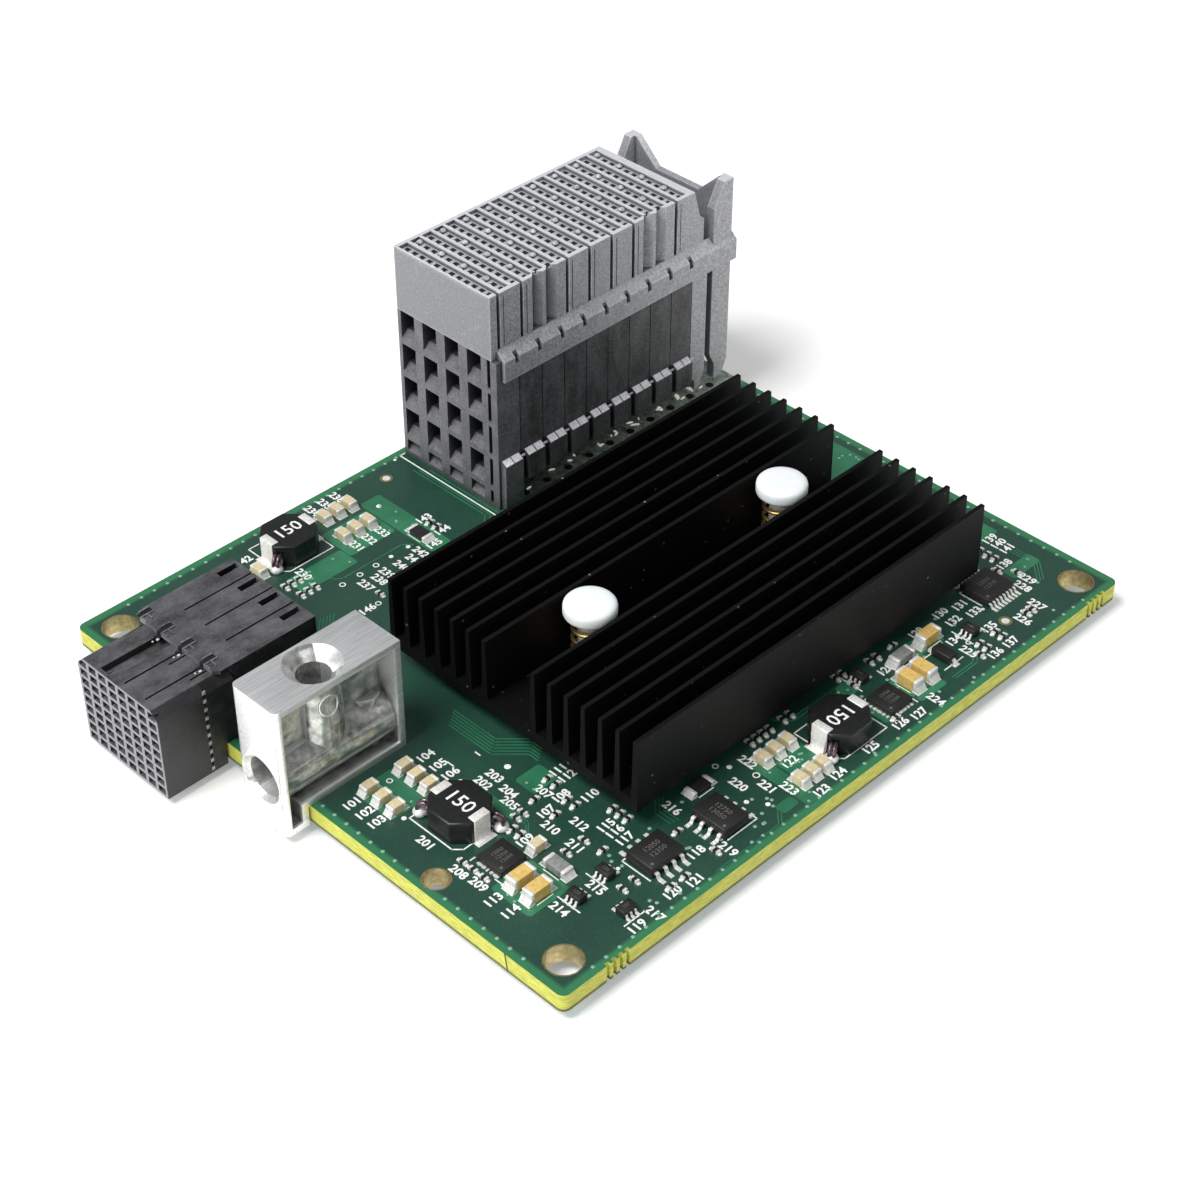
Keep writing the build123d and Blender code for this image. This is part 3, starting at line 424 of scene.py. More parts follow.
def moulded(
    name, dark, light, scuff, rough, painted_front_tone=None, streaks=1.0, highlight_above=None, corners=1.2, edges=0.0
):
    """A moulded plastic with float marks, pale specks, scuffs, painted edge highlights and painted shade
    in its corners.

    Faces that look along -X may have a tone of their own: a painted light or a painted shade for
    how the lamps fall on that side. A value of streaks below 1 draws the float marks out
    upwards, and whatever stands higher than the given height in millimetres gets a painted
    highlight. Gaps narrower than corners millimetres get a painted shade, and outer edges get a
    painted highlight by the share called edges.
    """
    plastic = Finish(name)
    drift = plastic.noise(2.4, 4, stretch=(1.0, 1.0, streaks))
    grit = plastic.noise(0.27, 4, rough=0.75)
    pale = plastic.specks(0.6, 0.06)
    wear = plastic.noise(1.1, 5, stretch=(1.0, 1.0, streaks), rough=0.7).ramp(0.58, 0.75)
    colour = plastic.mix(drift.ramp(0.35, 0.65), dark, light)
    calm = 1.0
    # Faces along -X take a painted tone: painted light where it is paler, painted shade where darker.
    if painted_front_tone:
        ahead = plastic.facing("X") < -0.5
        colour = plastic.mix(ahead, colour, painted_front_tone)
        calm = 1 - ahead * 0.55
    darker = tuple(c * 0.4 for c in dark[:3]) + (1.0,)
    brighter = tuple(min(1.0, c * 1.9) for c in light[:3]) + (1.0,)
    colour = plastic.mix(grit.ramp(0.5, 0.3) * 0.8 * calm, colour, darker)
    colour = plastic.mix(grit.ramp(0.5, 0.72) * 0.6 * calm, colour, brighter)
    # Painted highlight on whatever stands above the given height.
    if highlight_above:
        colour = plastic.mix((plastic.axis("Z") > highlight_above) * 0.4, colour, tone(226, 227, 230))
    colour = plastic.mix((pale * 0.4).most(wear * scuff), colour, brighter)
    # Painted highlight along outer edges.
    if edges:
        colour = plastic.mix(plastic.painted_edge_highlight(0.25) * edges, colour, brighter)
    # Painted shade in narrow gaps and corners.
    colour = plastic.mix(plastic.painted_gap_shade(corners) * 0.85, colour, tone(8, 8, 9))
    plastic.colour = colour
    plastic.set(Base_Color=colour, Roughness=grit * 0.25 + rough)
    plastic.relief(plastic.noise(0.25, 3), 0.04)
    return plastic


print("plastic recipe ready")

# %% [markdown]
# The tall connector's cap is the palest grey. Its long flank gets a painted light that grows
# towards the far end, the upward faces of its field of sockets get a painted light too, and its
# crest a painted highlight. Its faces along -X get a darker tone, a painted shade. Masks by
# direction and by place vary the tone, so that no large face is even.

# %% Cap plastic
cap_height = 31.0
# Faces along -X get a darker tone, a painted shade; crest and outer edges get painted highlights.
cap_grey = moulded(
    "cap_grey", tone(142, 143, 148), tone(160, 161, 165), 0.2, 0.4,
    painted_front_tone=tone(131, 132, 136), highlight_above=board_thick + cap_height - 0.1, corners=0.7, edges=0.45,
)
# Painted light on the long flank, growing towards the far end.
far_flank_painted_light = (cap_grey.facing("Y") < -0.5) * cap_grey.axis("X").ramp(58.0, 84.0)
sandy = cap_grey.noise(0.3, 4, rough=0.75).ramp(0.35, 0.65)
far_flank_light_tone = cap_grey.mix(sandy, tone(160, 161, 165), tone(246, 247, 250))
cap_tone = cap_grey.mix(far_flank_painted_light * 0.62, cap_grey.colour, far_flank_light_tone)
# Painted light on the upward faces of the field of sockets.
top_field_painted_light = (cap_grey.facing("Z") > 0.5) * (cap_grey.axis("Z") > board_thick + cap_height - 1.0)
cap_grey.set(Base_Color=cap_grey.mix(top_field_painted_light * 0.3, cap_tone, tone(224, 225, 229)))
cap_grey.dress("mezz_housing")
print("cap plastic:", len(cap_grey.tree.nodes), "nodes")

# %% [markdown]
# The slices under the cap are darker, and their float marks run upwards, the way the plastic
# filled the mould. The end slice is paler and calmer, with deep shade in its lattice.

# %% Slice plastic
wafer_grey = moulded("wafer_grey", tone(54, 54, 56), tone(96, 96, 98), 0.5, 0.38, streaks=0.35)
end_grey = moulded("end_wafer_grey", tone(92, 92, 96), tone(112, 112, 116), 0.2, 0.42, corners=3.2)
wafer_grey.dress("mezz_wafers")
end_grey.dress("mezz_end_wafer")
print("slice plastics:", wafer_grey.material.name, end_grey.material.name)

# %% [markdown]
# The low connector is darker. Its roof has paler patches, its flank gets a painted shade that
# makes it nearly black, and behind the seam the flank gets a painted shade darker still and
# patchy. Three masks lay these over the common recipe, in which faces along -X get a paler
# tone, a painted light.

# %% Low connector plastic
# Faces along -X take a paler tone, a painted light; outer edges get a painted highlight.
side_grey = moulded(
    "side_grey", tone(46, 46, 48), tone(66, 66, 69), 0.35, 0.34, painted_front_tone=tone(138, 138, 142), edges=0.3
)
# Painted shade on the flank that faces -Y.
flank_painted_shade = side_grey.facing("Y") < -0.5
seam_x = -6.0
# Darker, patchy painted shade on the flank behind the seam.
painted_shade_behind_seam = side_grey.axis("X").ramp(seam_x - 0.1, seam_x + 0.1) * flank_painted_shade
patches = side_grey.noise(1.6, 4).ramp(0.45, 0.65)
behind_seam_shade_tone = side_grey.mix(patches, tone(10, 10, 11), tone(38, 38, 40))
upper = side_grey.facing("Z") > 0.5
roof_patch_noise = side_grey.noise(3.0, 6, stretch=(0.6, 1.0, 1.0), rough=0.72)
roof_patch_tone = side_grey.mix(roof_patch_noise.ramp(0.38, 0.62), tone(52, 52, 55), tone(124, 124, 128))
side_tone = side_grey.mix(upper * 0.42, side_grey.colour, roof_patch_tone)
side_tone = side_grey.mix(flank_painted_shade * 0.75, side_tone, tone(14, 14, 15))
side_grey.set(Base_Color=side_grey.mix(painted_shade_behind_seam * 0.85, side_tone, behind_seam_shade_tone))
side_grey.dress("side_front_housing", "side_rear_shell", "side_wafers")
print("low connector plastic:", len(side_grey.tree.nodes), "nodes")

# %% [markdown]
# The push pins are plain white nylon. Light sinks into it a little, so it has a share of
# scattering under the skin, and a faint cloud keeps it from looking painted.

# %% Push pin plastic
nylon = Finish("white_nylon")
milky = nylon.noise(1.3, 3)
nylon.set(
    Base_Color=nylon.mix(milky, tone(238, 239, 238), tone(250, 250, 249)),
    Roughness=milky * 0.1 + 0.38,
    Subsurface_Weight=0.1,
)
nylon.relief(nylon.noise(0.25, 3), 0.015)
nylon.dress("push_pins")
print("pin plastic:", nylon.material.name)

# %% [markdown]
# Metals differ mostly in how rough they are. The guide block is die cast and tumbled: pale,
# matt, with polishing marks on its faces. Tin on leads, pads and part ends is bright and
# lumpy. Brass springs and bare screws sit between. The colour stays nearly even, and
# roughness and relief carry the look.

# %% Metal finishes


def metal(name, dark, light, grain, rough, depth, share=1.0):
    """A metal whose colour and polish drift over patches about grain millimetres across."""
    made = Finish(name)
    patch = made.noise(grain, 4)
    fine = made.noise(grain / 6, 3)
    made.set(
        Base_Color=made.mix(patch.ramp(0.3, 0.7), dark, light),
        Roughness=fine * 0.22 + rough,
        Metallic=share,
    )
    made.relief(patch * 0.6 + fine * 0.4, depth)
    return made


tin = metal("tinned", tone(222, 220, 214), tone(250, 249, 245), 0.4, 0.3, 0.01, share=0.3)
brass = metal("spring_brass", tone(168, 140, 84), tone(214, 190, 130), 0.6, 0.25, 0.01)
steel = metal("bare_metal", tone(150, 148, 142), tone(196, 194, 188), 0.8, 0.28, 0.02)
tin.dress("mezz_tail_tips", "side_tail_tips", "choke_clips", "choke_coil_ends", "so8_leads")
tin.dress("tssop_leads", "sc70_leads", "diode_leads", "capacitor_small_ends", "capacitor_large_ends")
tin.dress("bead_ends", "resistor_ends")
brass.dress("push_pin_springs")
steel.dress("guide_screw", "controller_lid")
print("metal finishes made")

# %% [markdown]
# Small parts are ceramics and moulded chips. Ceramic capacitors are tan and slightly waxy,
# beads are grey, resistors and chips are black, and a choke is pressed from black
# powder. They are seen from a hand's width at most, so a little mottle and a fine bump do.

# %% Small part finishes


def mottled(name, dark, light, grain, rough, depth):
    """A pressed or fired body with a mottle about grain millimetres across."""
    made = Finish(name)
    patch = made.noise(grain, 4)
    made.set(
        Base_Color=made.mix(patch.ramp(0.3, 0.7), dark, light),
        Roughness=made.noise(grain / 3, 2) * 0.2 + rough,
    )
    made.relief(patch, depth)
    return made


tan = mottled("tan_ceramic", tone(204, 166, 88), tone(230, 198, 120), 0.5, 0.4, 0.01)
beige = mottled("beige_ceramic", tone(200, 184, 142), tone(222, 208, 172), 0.4, 0.4, 0.01)
bead_grey = mottled("grey_ceramic", tone(120, 122, 118), tone(150, 152, 146), 0.4, 0.35, 0.01)
resistor_black = mottled("black_ceramic", tone(22, 22, 24), tone(44, 44, 46), 0.3, 0.35, 0.01)
ferrite = mottled("ferrite", tone(12, 13, 13), tone(26, 27, 28), 0.35, 0.3, 0.02)
chip_black = mottled("chip_moulding", tone(24, 23, 22), tone(38, 37, 36), 0.12, 0.4, 0.01)
pad_grey = mottled("thermal_pad", tone(120, 120, 124), tone(140, 140, 144), 0.8, 0.8, 0.02)
tan.dress("capacitor_large_bodies")
beige.dress("capacitor_small_bodies")
bead_grey.dress("bead_bodies")
resistor_black.dress("resistor_bodies", "tiny_chips")
ferrite.dress("choke_bodies")
chip_black.dress("so8_bodies", "tssop_bodies", "sc70_bodies", "diode_body", "flat_chips")
pad_grey.dress("thermal_pad")
bare = [name for name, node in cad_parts.items() if not node.data.materials]
print("nodes without a finish:", bare)

# %% [markdown]
# New pieces are all made the same way: a mesh is grown with bmesh operators in the frame's
# own place, then handed over once with a name and a finish. A piece that is made in place of a
# CAD node names that node too, so that the two aren't shown together.

# %% Handing a piece over


def piece(mesh, name, finish, slot, *stands_for, mend=False, smooth=False):
    """Turns a grown mesh into a named piece that rides on the card.

    The option mend turns all faces outwards first, and smooth shades them as one curved skin.
    """
    if mend:
        bmesh.ops.recalc_face_normals(mesh, faces=mesh.faces)
    if smooth:
        for face in mesh.faces:
            face.smooth = True
    data = bpy.data.meshes.new(name)
    mesh.to_mesh(data)
    mesh.free()
    data.materials.append(finish.material)
    made = bpy.data.objects.new(name, data)
    bpy.context.scene.collection.objects.link(made)
    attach(made, "root")
    if stands_for:
        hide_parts(*stands_for)
    print(name, "faces:", len(data.polygons))
    return made


print("pieces ride on root")

# %% [markdown]
# A few helpers grow the plain solids that come back again and again. Each makes a unit shape
# with one operator and gives it a matrix for its size and place, which keeps the lesson's
# loops short.

# %% Boxes, balls and discs


def scaled(x, y, z):
    """A matrix that stretches a unit shape to three lengths in metres."""
    return Matrix.Diagonal((x, y, z, 1.0))


def block(mesh, low, high):
    """A box between two corners, given in metres in the frame."""
    low, high = Vector(low), Vector(high)
    place = Matrix.Translation((low + high) / 2) @ scaled(*(high - low))
    return bmesh.ops.create_cube(mesh, size=1.0, matrix=place)["verts"]


def slab(mesh, start, end):
    """A box between two places over the board, each given by three lengths in millimetres."""
    return block(mesh, on_board(*start), on_board(*end))


def ball(mesh, centre, radii, fineness, lay=Matrix()):
    """A ball, squeezed by its three radii in millimetres and turned by the matrix lay."""
    size = scaled(*[radius * mm for radius in radii])
    place = Matrix.Translation(centre) @ lay @ size
    bmesh.ops.create_icosphere(mesh, subdivisions=fineness, radius=1.0, matrix=place)


def disc(mesh, centre, radius, tall, sides):
    """A flat round plate that lies level, in millimetres."""
    wide = radius * mm
    place = Matrix.Translation(centre)
    bmesh.ops.create_cone(
        mesh, cap_ends=True, segments=sides, radius1=wide, radius2=wide, depth=tall * mm, matrix=place
    )


print("solid helpers ready")

# %% [markdown]
# Round wires and turned parts both come from a spin: a small circle swept round an axis makes
# a wire, and a profile swept round a standing axis makes a pin or a tube. Print and traces
# are thin bars from point to point.

# %% Wires, bars and turned profiles


def swept_wire(mesh, place, radius, sides, **sweep):
    """A round wire: a circle in the plane of place, swept by a spin with the given settings."""
    circle = bmesh.ops.create_circle(mesh, cap_ends=False, segments=sides, radius=radius, matrix=place)
    ring = circle["verts"]
    edges = list({edge for vert in ring for edge in vert.link_edges})
    bmesh.ops.spin(mesh, geom=ring + edges, **sweep)


def bar(mesh, start, end, wide, tall):
    """A thin flat bar on the board between two places, in millimetres."""
    first, last = on_board(*start), on_board(*end)
    run = last - first
    middle_point = (first + last) / 2 + Vector((0, 0, tall * mm / 2))
    spin = Matrix.Rotation(run.to_2d().angle_signed(Vector((1, 0))), 4, "Z")
    size = scaled(run.length + wide * mm * 0.5, wide * mm, tall * mm)
    bmesh.ops.create_cube(mesh, size=1.0, matrix=Matrix.Translation(middle_point) @ spin @ size)


def bars_along(mesh, route, wide, tall):
    """Bars from point to point of a route."""
    for start, end in zip(route, route[1:]):
        bar(mesh, start, end, wide, tall)


def turned(mesh, profile, centre, steps, closed=True):
    """Spins a profile of (radius, height) pairs, in millimetres, about a standing axis."""
    line = [mesh.verts.new(centre + Vector((radius * mm, 0, height * mm))) for radius, height in profile]
    pairs = list(zip(line, line[1:]))
    if closed:
        pairs.append((line[-1], line[0]))
    edges = [mesh.edges.new(pair) for pair in pairs]
    bmesh.ops.spin(
        mesh, geom=line + edges, cent=centre, axis=(0, 0, 1), angle=2 * pi, steps=steps, use_merge=True
    )


print("sweep helpers ready")

# %% [markdown]
# Many CAD nodes hold a whole group of like parts as separate solids. Their boxes say where
# each part stands, so that pads, solder and marks can be laid beside every one of them.

# %% Solids of a node


def solids_of(node):
    """The boxes of a CAD node's separate solids, as (lowest corner, highest corner) pairs.

    Each solid is an island of the mesh, found by walking from vertex to vertex along edges.
    """
    mesh = bmesh.new()
    mesh.from_mesh(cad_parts[node].data)
    bmesh.ops.remove_doubles(mesh, verts=mesh.verts, dist=1e-7)
    waiting = set(mesh.verts)
    boxes = []
    while waiting:
        group = {waiting.pop()}
        frontier = list(group)
        while frontier:
            here = frontier.pop()
            for edge in here.link_edges:
                other = edge.other_vert(here)
                if other in waiting:
                    waiting.discard(other)
                    group.add(other)
                    frontier.append(other)
        spans = [[v.co[axis] for v in group] for axis in range(3)]
        boxes.append((Vector([min(s) for s in spans]), Vector([max(s) for s in spans])))
    mesh.free()
    return sorted(boxes, key=lambda box: (round(box[0].x, 6), round(box[0].y, 6)))


def centre_of(box):
    """The middle of a pair of corners."""
    return (box[0] + box[1]) / 2


print("tiny chips found:", len(solids_of("tiny_chips")))

# %% [markdown]
# Under the mask the copper is laid out in broad areas and in thin traces. Both stand a few
# hundredths of a millimetre above the laminate, which is just enough for the mask to catch
# light along their edges. They are real flat solids here, so they read from any side.

# %% Copper under the mask
over_copper = Finish("mask_over_copper")
copper_cloud = over_copper.noise(5.0, 3)
over_copper.set(
    Base_Color=over_copper.mix(copper_cloud.ramp(0.35, 0.7), tone(36, 102, 72), tone(50, 124, 88)),
    Roughness=copper_cloud * 0.1 + 0.34,
    Coat_Weight=0.25,
    Coat_Roughness=0.25,
)
over_copper.relief(over_copper.noise(0.6, 3), 0.015)
copper_rectangles = [
    (4.7, 31.3, 10.3, 37.6), (32.0, 69.9, 39.4, 75.8), (39.6, 63.5, 42.9, 77.2),
    (38.5, 0.9, 40.6, 9.8), (40.9, 3.2, 45.6, 9.9), (35.6, 1.9, 38.2, 3.4), (5.3, 10.4, 11.3, 16.4),
    (60.7, 2.9, 65.4, 3.9), (60.4, 4.2, 66.2, 7.9), (13.9, 22.2, 15.2, 29.9), (23.2, 68.4, 31.9, 71.9),
    (66.3, 8.1, 71.4, 10.8), (54.9, 3.4, 60.0, 7.8), (86.4, 9.2, 91.6, 11.2), (55.2, 9.4, 57.6, 11.6),
    (18.5, 23.4, 22.3, 26.6), (30.4, 60.2, 38.8, 61.6), (84.6, 16.5, 92.6, 29.0),
    (84.4, 32.0, 92.8, 50.5), (44.2, 54.2, 56.0, 60.6), (6.2, 72.6, 20.4, 79.6),
]
copper_tall = 0.035
copper = bmesh.new()
for x0, y0, x1, y1 in copper_rectangles:
    slab(copper, (x0, y0, 0.0), (x1, y1, copper_tall))
upright_edges = [e for e in copper.edges if abs((e.verts[0].co - e.verts[1].co).z) > 0.01 * mm]
bmesh.ops.bevel(
    copper, geom=upright_edges, offset=0.4 * mm, offset_type="OFFSET", segments=2, affect="EDGES",
    profile=0.5, material=-1,
)
piece(copper, "copper_areas", over_copper, "mask")

# %% [markdown]
# Traces run in bundles and turn by 45 degrees, never by a right angle. A bundle is one route,
# repeated side by side at a fixed spacing, so a short list of routes is enough.

# %% Traces


def bundle(mesh, route, count, step, wide):
    """Lays count copies of a route side by side, each moved on by step."""
    for index in range(count):
        moved = [(x + step[0] * index, y + step[1] * index) for x, y in route]
        bars_along(mesh, moved, wide, 0.03)


traces = bmesh.new()
for route, count, step, wide in (
    ([(19.6, 38.4), (19.6, 31.5), (22.6, 28.5), (22.6, 27.0)], 6, (0.42, 0.3), 0.16),
    ([(27.0, 70.5), (27.5, 68.0), (28.5, 67.3), (38.0, 67.3), (39.0, 66.3)], 1, (0, 0), 0.2),
    ([(15.8, 49.0), (18.2, 51.4), (18.2, 60.0), (21.5, 63.3)], 5, (0.45, -0.1), 0.15),
    ([(43.5, 61.5), (46.5, 61.5), (49.5, 64.5), (49.5, 78.0)], 4, (0.5, -0.5), 0.15),
    ([(83.5, 14.6), (86.5, 17.6), (86.5, 33.0), (84.2, 35.3)], 4, (0.45, -0.35), 0.15),
    ([(24.0, 1.3), (34.0, 1.3), (36.0, 3.3)], 2, (0.2, -0.35), 0.15),
    ([(25.8, 9.6), (25.8, 11.9), (27.2, 13.3)], 3, (0.5, -0.1), 0.15),
    ([(50.8, 11.2), (47.8, 11.2), (46.0, 13.0)], 2, (0.0, 0.5), 0.15),
    ([(66.5, 3.2), (70.5, 3.2), (72.5, 5.2)], 2, (0.3, -0.4), 0.15),
    ([(87.9, 6.9), (90.4, 9.4), (90.4, 12.9)], 3, (0.45, -0.1), 0.15),
    ([(11.6, 17.6), (14.6, 20.6), (14.6, 22.0)], 2, (0.45, 0.1), 0.15),
):
    bundle(traces, route, count, step, wide)
piece(traces, "traces", over_copper, "mask")

# %% [markdown]
# Stitching vias tie the board's planes together round its rim, and more sit by the power
# parts. Their places follow the rim at an even step, and are strewn over the copper areas
# and the front strip with a fixed seed.

# %% Places of the vias
tented = Finish("tented_via")
tented.set(
    Base_Color=tented.mix(tented.noise(0.3, 2), tone(96, 146, 122), tone(150, 184, 164)),
    Roughness=tented.noise(0.2, 2) * 0.2 + 0.3,
)
rim_step = 1.95
side_step = 1.98
via_places = []
for index in range(46):
    via_places.append((3.2 + index * rim_step, 0.95))
    via_places.append((3.0 + index * rim_step, board_size[1] - 1.0))
for index in range(40):
    via_places.append((0.95, 2.8 + index * side_step))
    via_places.append((board_size[0] - 1.0, 2.6 + index * side_step))
chance = random.Random(7)
for x0, y0, x1, y1 in copper_rectangles:
    for _ in range(int((x1 - x0) * (y1 - y0) / 5)):
        via_places.append((chance.uniform(x0 + 0.4, x1 - 0.4), chance.uniform(y0 + 0.4, y1 - 0.4)))
for _ in range(90):
    via_places.append((chance.uniform(12, 90), chance.uniform(1.2, 11.6)))
print("places for vias:", len(via_places))

# %% [markdown]
# A via can't be where a part, a hole or a placing target is. Each plated hole has its place,
# its radius and the radius that stays clear. The boxes of the CAD solids that stand on the
# board say what else is taken.

# %% Free places on the board
plated = [(3.7, 3.7, 2.1, 3.0), (91.3, 3.7, 2.1, 3.0), (3.7, 79.0, 2.1, 3.0), (2.2, 21.4, 1.55, 2.4)]
targets = [(45.8, 79.1), (79.1, 5.1)]
holes = [(x, y, clear) for x, y, _, clear in plated] + [(x, y, 1.2) for x, y in targets]
lowest, highest = board_top + 0.1 * mm, board_top + 2 * mm
occupied = []
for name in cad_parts:
    if name not in ("circuit_board", "heat_sink", "push_pins", "push_pin_springs"):
        occupied += [box for box in solids_of(name) if box[1].z > lowest and box[0].z < highest]


def is_free(x, y):
    """Whether a place on the board has no part and no hole on it."""
    spot = on_board(x, y)
    room = 0.3 * mm
    for low_corner, high_corner in occupied:
        if low_corner.x - room < spot.x < high_corner.x + room:
            if low_corner.y - room < spot.y < high_corner.y + room:
                return False
    return all((x - hx) ** 2 + (y - hy) ** 2 > reach ** 2 for hx, hy, reach in holes)


print("solids that take up room:", len(occupied))

# %% [markdown]
# Tented with mask, a via is only a pale dimple. There are hundreds, so each is an eight-sided
# cone of a few faces.

# %% Vias
vias = bmesh.new()
laid = 0
for x, y in via_places:
    if is_free(x, y):
        place = Matrix.Translation(on_board(x, y, copper_tall))
        bmesh.ops.create_cone(
            vias, cap_ends=True, segments=8, radius1=0.24 * mm, radius2=0.13 * mm,
            depth=0.05 * mm, matrix=place,
        )
        laid += 1
print("vias laid:", laid)
piece(vias, "tented_vias", tented, "mask")

# %% [markdown]
# The corner holes are plated through: a thin metal tube lines each one and ends in a narrow
# flange on both faces. The profile of tube and flanges is spun round the hole's axis.

# %% Plated holes
plating = metal("hole_plating", tone(170, 150, 96), tone(216, 202, 160), 0.6, 0.25, 0.03)
foil = 0.03
barrels = bmesh.new()
for x, y, radius, _ in plated:
    flange = radius + 0.16
    inner = radius - 0.02
    profile = [
        (inner, foil), (flange, foil), (flange, 0.0), (radius, 0.0), (radius, -board_thick),
        (flange, -board_thick), (flange, -board_thick - foil), (inner, -board_thick - foil),
    ]
    turned(barrels, profile, on_board(x, y), 48)
piece(barrels, "plated_holes", plating, "tinned", mend=True)

# %% [markdown]
# Chip parts stand on tinned pads, and solder climbs their metal ends in a small slope. Each
# end's box comes from the CAD node, the nearest body tells which way is out, and the pad and
# slope follow from those two.

# %% Solder under the two-ended parts
solder = metal("solder", tone(222, 222, 216), tone(255, 255, 250), 0.35, 0.2, 0.02, share=0.35)
pad_tall = 0.06 * mm


def outward(end, bodies):
    """The axis and the sign in which a part's end faces away from its body."""
    centre = centre_of(end)
    nearest = min(bodies, key=lambda body: (centre_of(body) - centre).length)
    away = centre - centre_of(nearest)
    axis = 0 if abs(away.x) > abs(away.y) else 1
    return axis, 1 if away[axis] > 0 else -1


def end_slab(box, axis, sign, back, beyond, side=0.0):
    """The corners of a slab at one end of a box, from back inside it to beyond it."""
    low_corner, high_corner = box[0].copy(), box[1].copy()
    end = high_corner[axis] if sign > 0 else low_corner[axis]
    low_corner[axis], high_corner[axis] = sorted((end - sign * back, end + sign * beyond))
    low_corner[1 - axis] -= side * mm
    high_corner[1 - axis] += side * mm
    return low_corner, high_corner


def solder_end(mesh, end, bodies, reach, climb):
    """A pad under one end and a slope of solder up its face."""
    axis, sign = outward(end, bodies)
    span = end[1] - end[0]
    pad_low, pad_high = end_slab(end, axis, sign, span[axis], reach * mm, 0.06)
    pad_low.z, pad_high.z = board_top, board_top + pad_tall
    block(mesh, pad_low, pad_high)
    slope_low, slope_high = end_slab(end, axis, sign, 0.02 * mm, reach * mm * 0.85)
    slope_low.z, slope_high.z = board_top + 0.05 * mm, board_top + climb * span.z
    outer = slope_high[axis] if sign > 0 else slope_low[axis]
    for corner in block(mesh, slope_low, slope_high):
        if abs(corner.co[axis] - outer) < 1e-7 and corner.co.z > slope_low.z + 1e-7:
            corner.co.z = slope_low.z + 0.02 * mm


joints = bmesh.new()
for kind, reach, climb in (
    ("capacitor_small", 0.42, 0.55), ("capacitor_large", 0.55, 0.5),
    ("bead", 0.5, 0.6), ("resistor", 0.5, 0.8),
):
    bodies = solids_of(kind + "_bodies")
    for end in solids_of(kind + "_ends"):
        solder_end(joints, end, bodies, reach, climb)
piece(joints, "solder_pads", solder, "tinned")

# %% [markdown]
# The smallest parts are a millimetre long. In the CAD model each is one plain box, so its two
# tinned ends are added here, a hair larger than the body, with a blob of solder outside each.

# %% Ends of the smallest parts
skin_thick = 0.02 * mm
tiny_ends = bmesh.new()
for chip in solids_of("tiny_chips"):
    span = chip[1] - chip[0]
    axis = 0 if span.x > span.y else 1
    for sign in (-1, 1):
        cap_low, cap_high = end_slab(chip, axis, sign, 0.27 * mm, skin_thick, 0.02)
        cap_high.z += skin_thick
        block(tiny_ends, cap_low, cap_high)
        centre = (cap_low + cap_high) / 2
        centre[axis] += sign * 0.27 * mm
        centre.z = board_top + 0.05 * mm
        radii = [0.26, 0.26, 0.2]
        radii[1 - axis] = 0.33
        ball(tiny_ends, centre, radii, 1)
piece(tiny_ends, "tiny_chip_solder", solder, "tinned")

# %% [markdown]
# Leaded chips have one pad under each foot. A foot is the lowest part of a lead's box, on the
# side away from the chip, so the pad is laid there and pokes out a little beyond it.

# %% Pads under leads
lead_pads = bmesh.new()
for kind in ("so8", "tssop", "sc70"):
    bodies = solids_of(kind + "_bodies")
    for lead in solids_of(kind + "_leads"):
        axis, sign = outward(lead, bodies)
        foot = (lead[1][axis] - lead[0][axis]) * 0.45
        low_corner, high_corner = end_slab(lead, axis, sign, foot, 0.32 * mm, 0.05)
        low_corner.z, high_corner.z = board_top, board_top + 0.07 * mm
        block(lead_pads, low_corner, high_corner)
for low_corner, high_corner in solids_of("choke_clips") + solids_of("diode_leads"):
    spill = Vector((0.2 * mm, 0.2 * mm, 0.0))
    low_corner, high_corner = low_corner - spill, high_corner + spill
    low_corner.z, high_corner.z = board_top, board_top + pad_tall
    block(lead_pads, low_corner, high_corner)
for low_corner, high_corner in solids_of("flat_chips"):
    for index in range(7):
        step = low_corner.lerp(high_corner, (index + 0.8) / 7.6)
        for x, y, wide, deep in (
            (step.x, low_corner.y, 0.14, 0.3), (step.x, high_corner.y, 0.14, 0.3),
            (low_corner.x, step.y, 0.3, 0.14), (high_corner.x, step.y, 0.3, 0.14),
        ):
            block(
                lead_pads,
                (x - wide * mm, y - deep * mm, board_top),
                (x + wide * mm, y + deep * mm, board_top + 0.08 * mm),
            )
piece(lead_pads, "lead_pads", solder, "tinned")

# %% [markdown]
# White ink marks each part's outline and a number beside it. The ink is a printed film, so
# the outlines are routes of thin bars, a few hundredths of a millimetre tall. A choke's
# outline has one corner cut off, to show which way round the part goes.

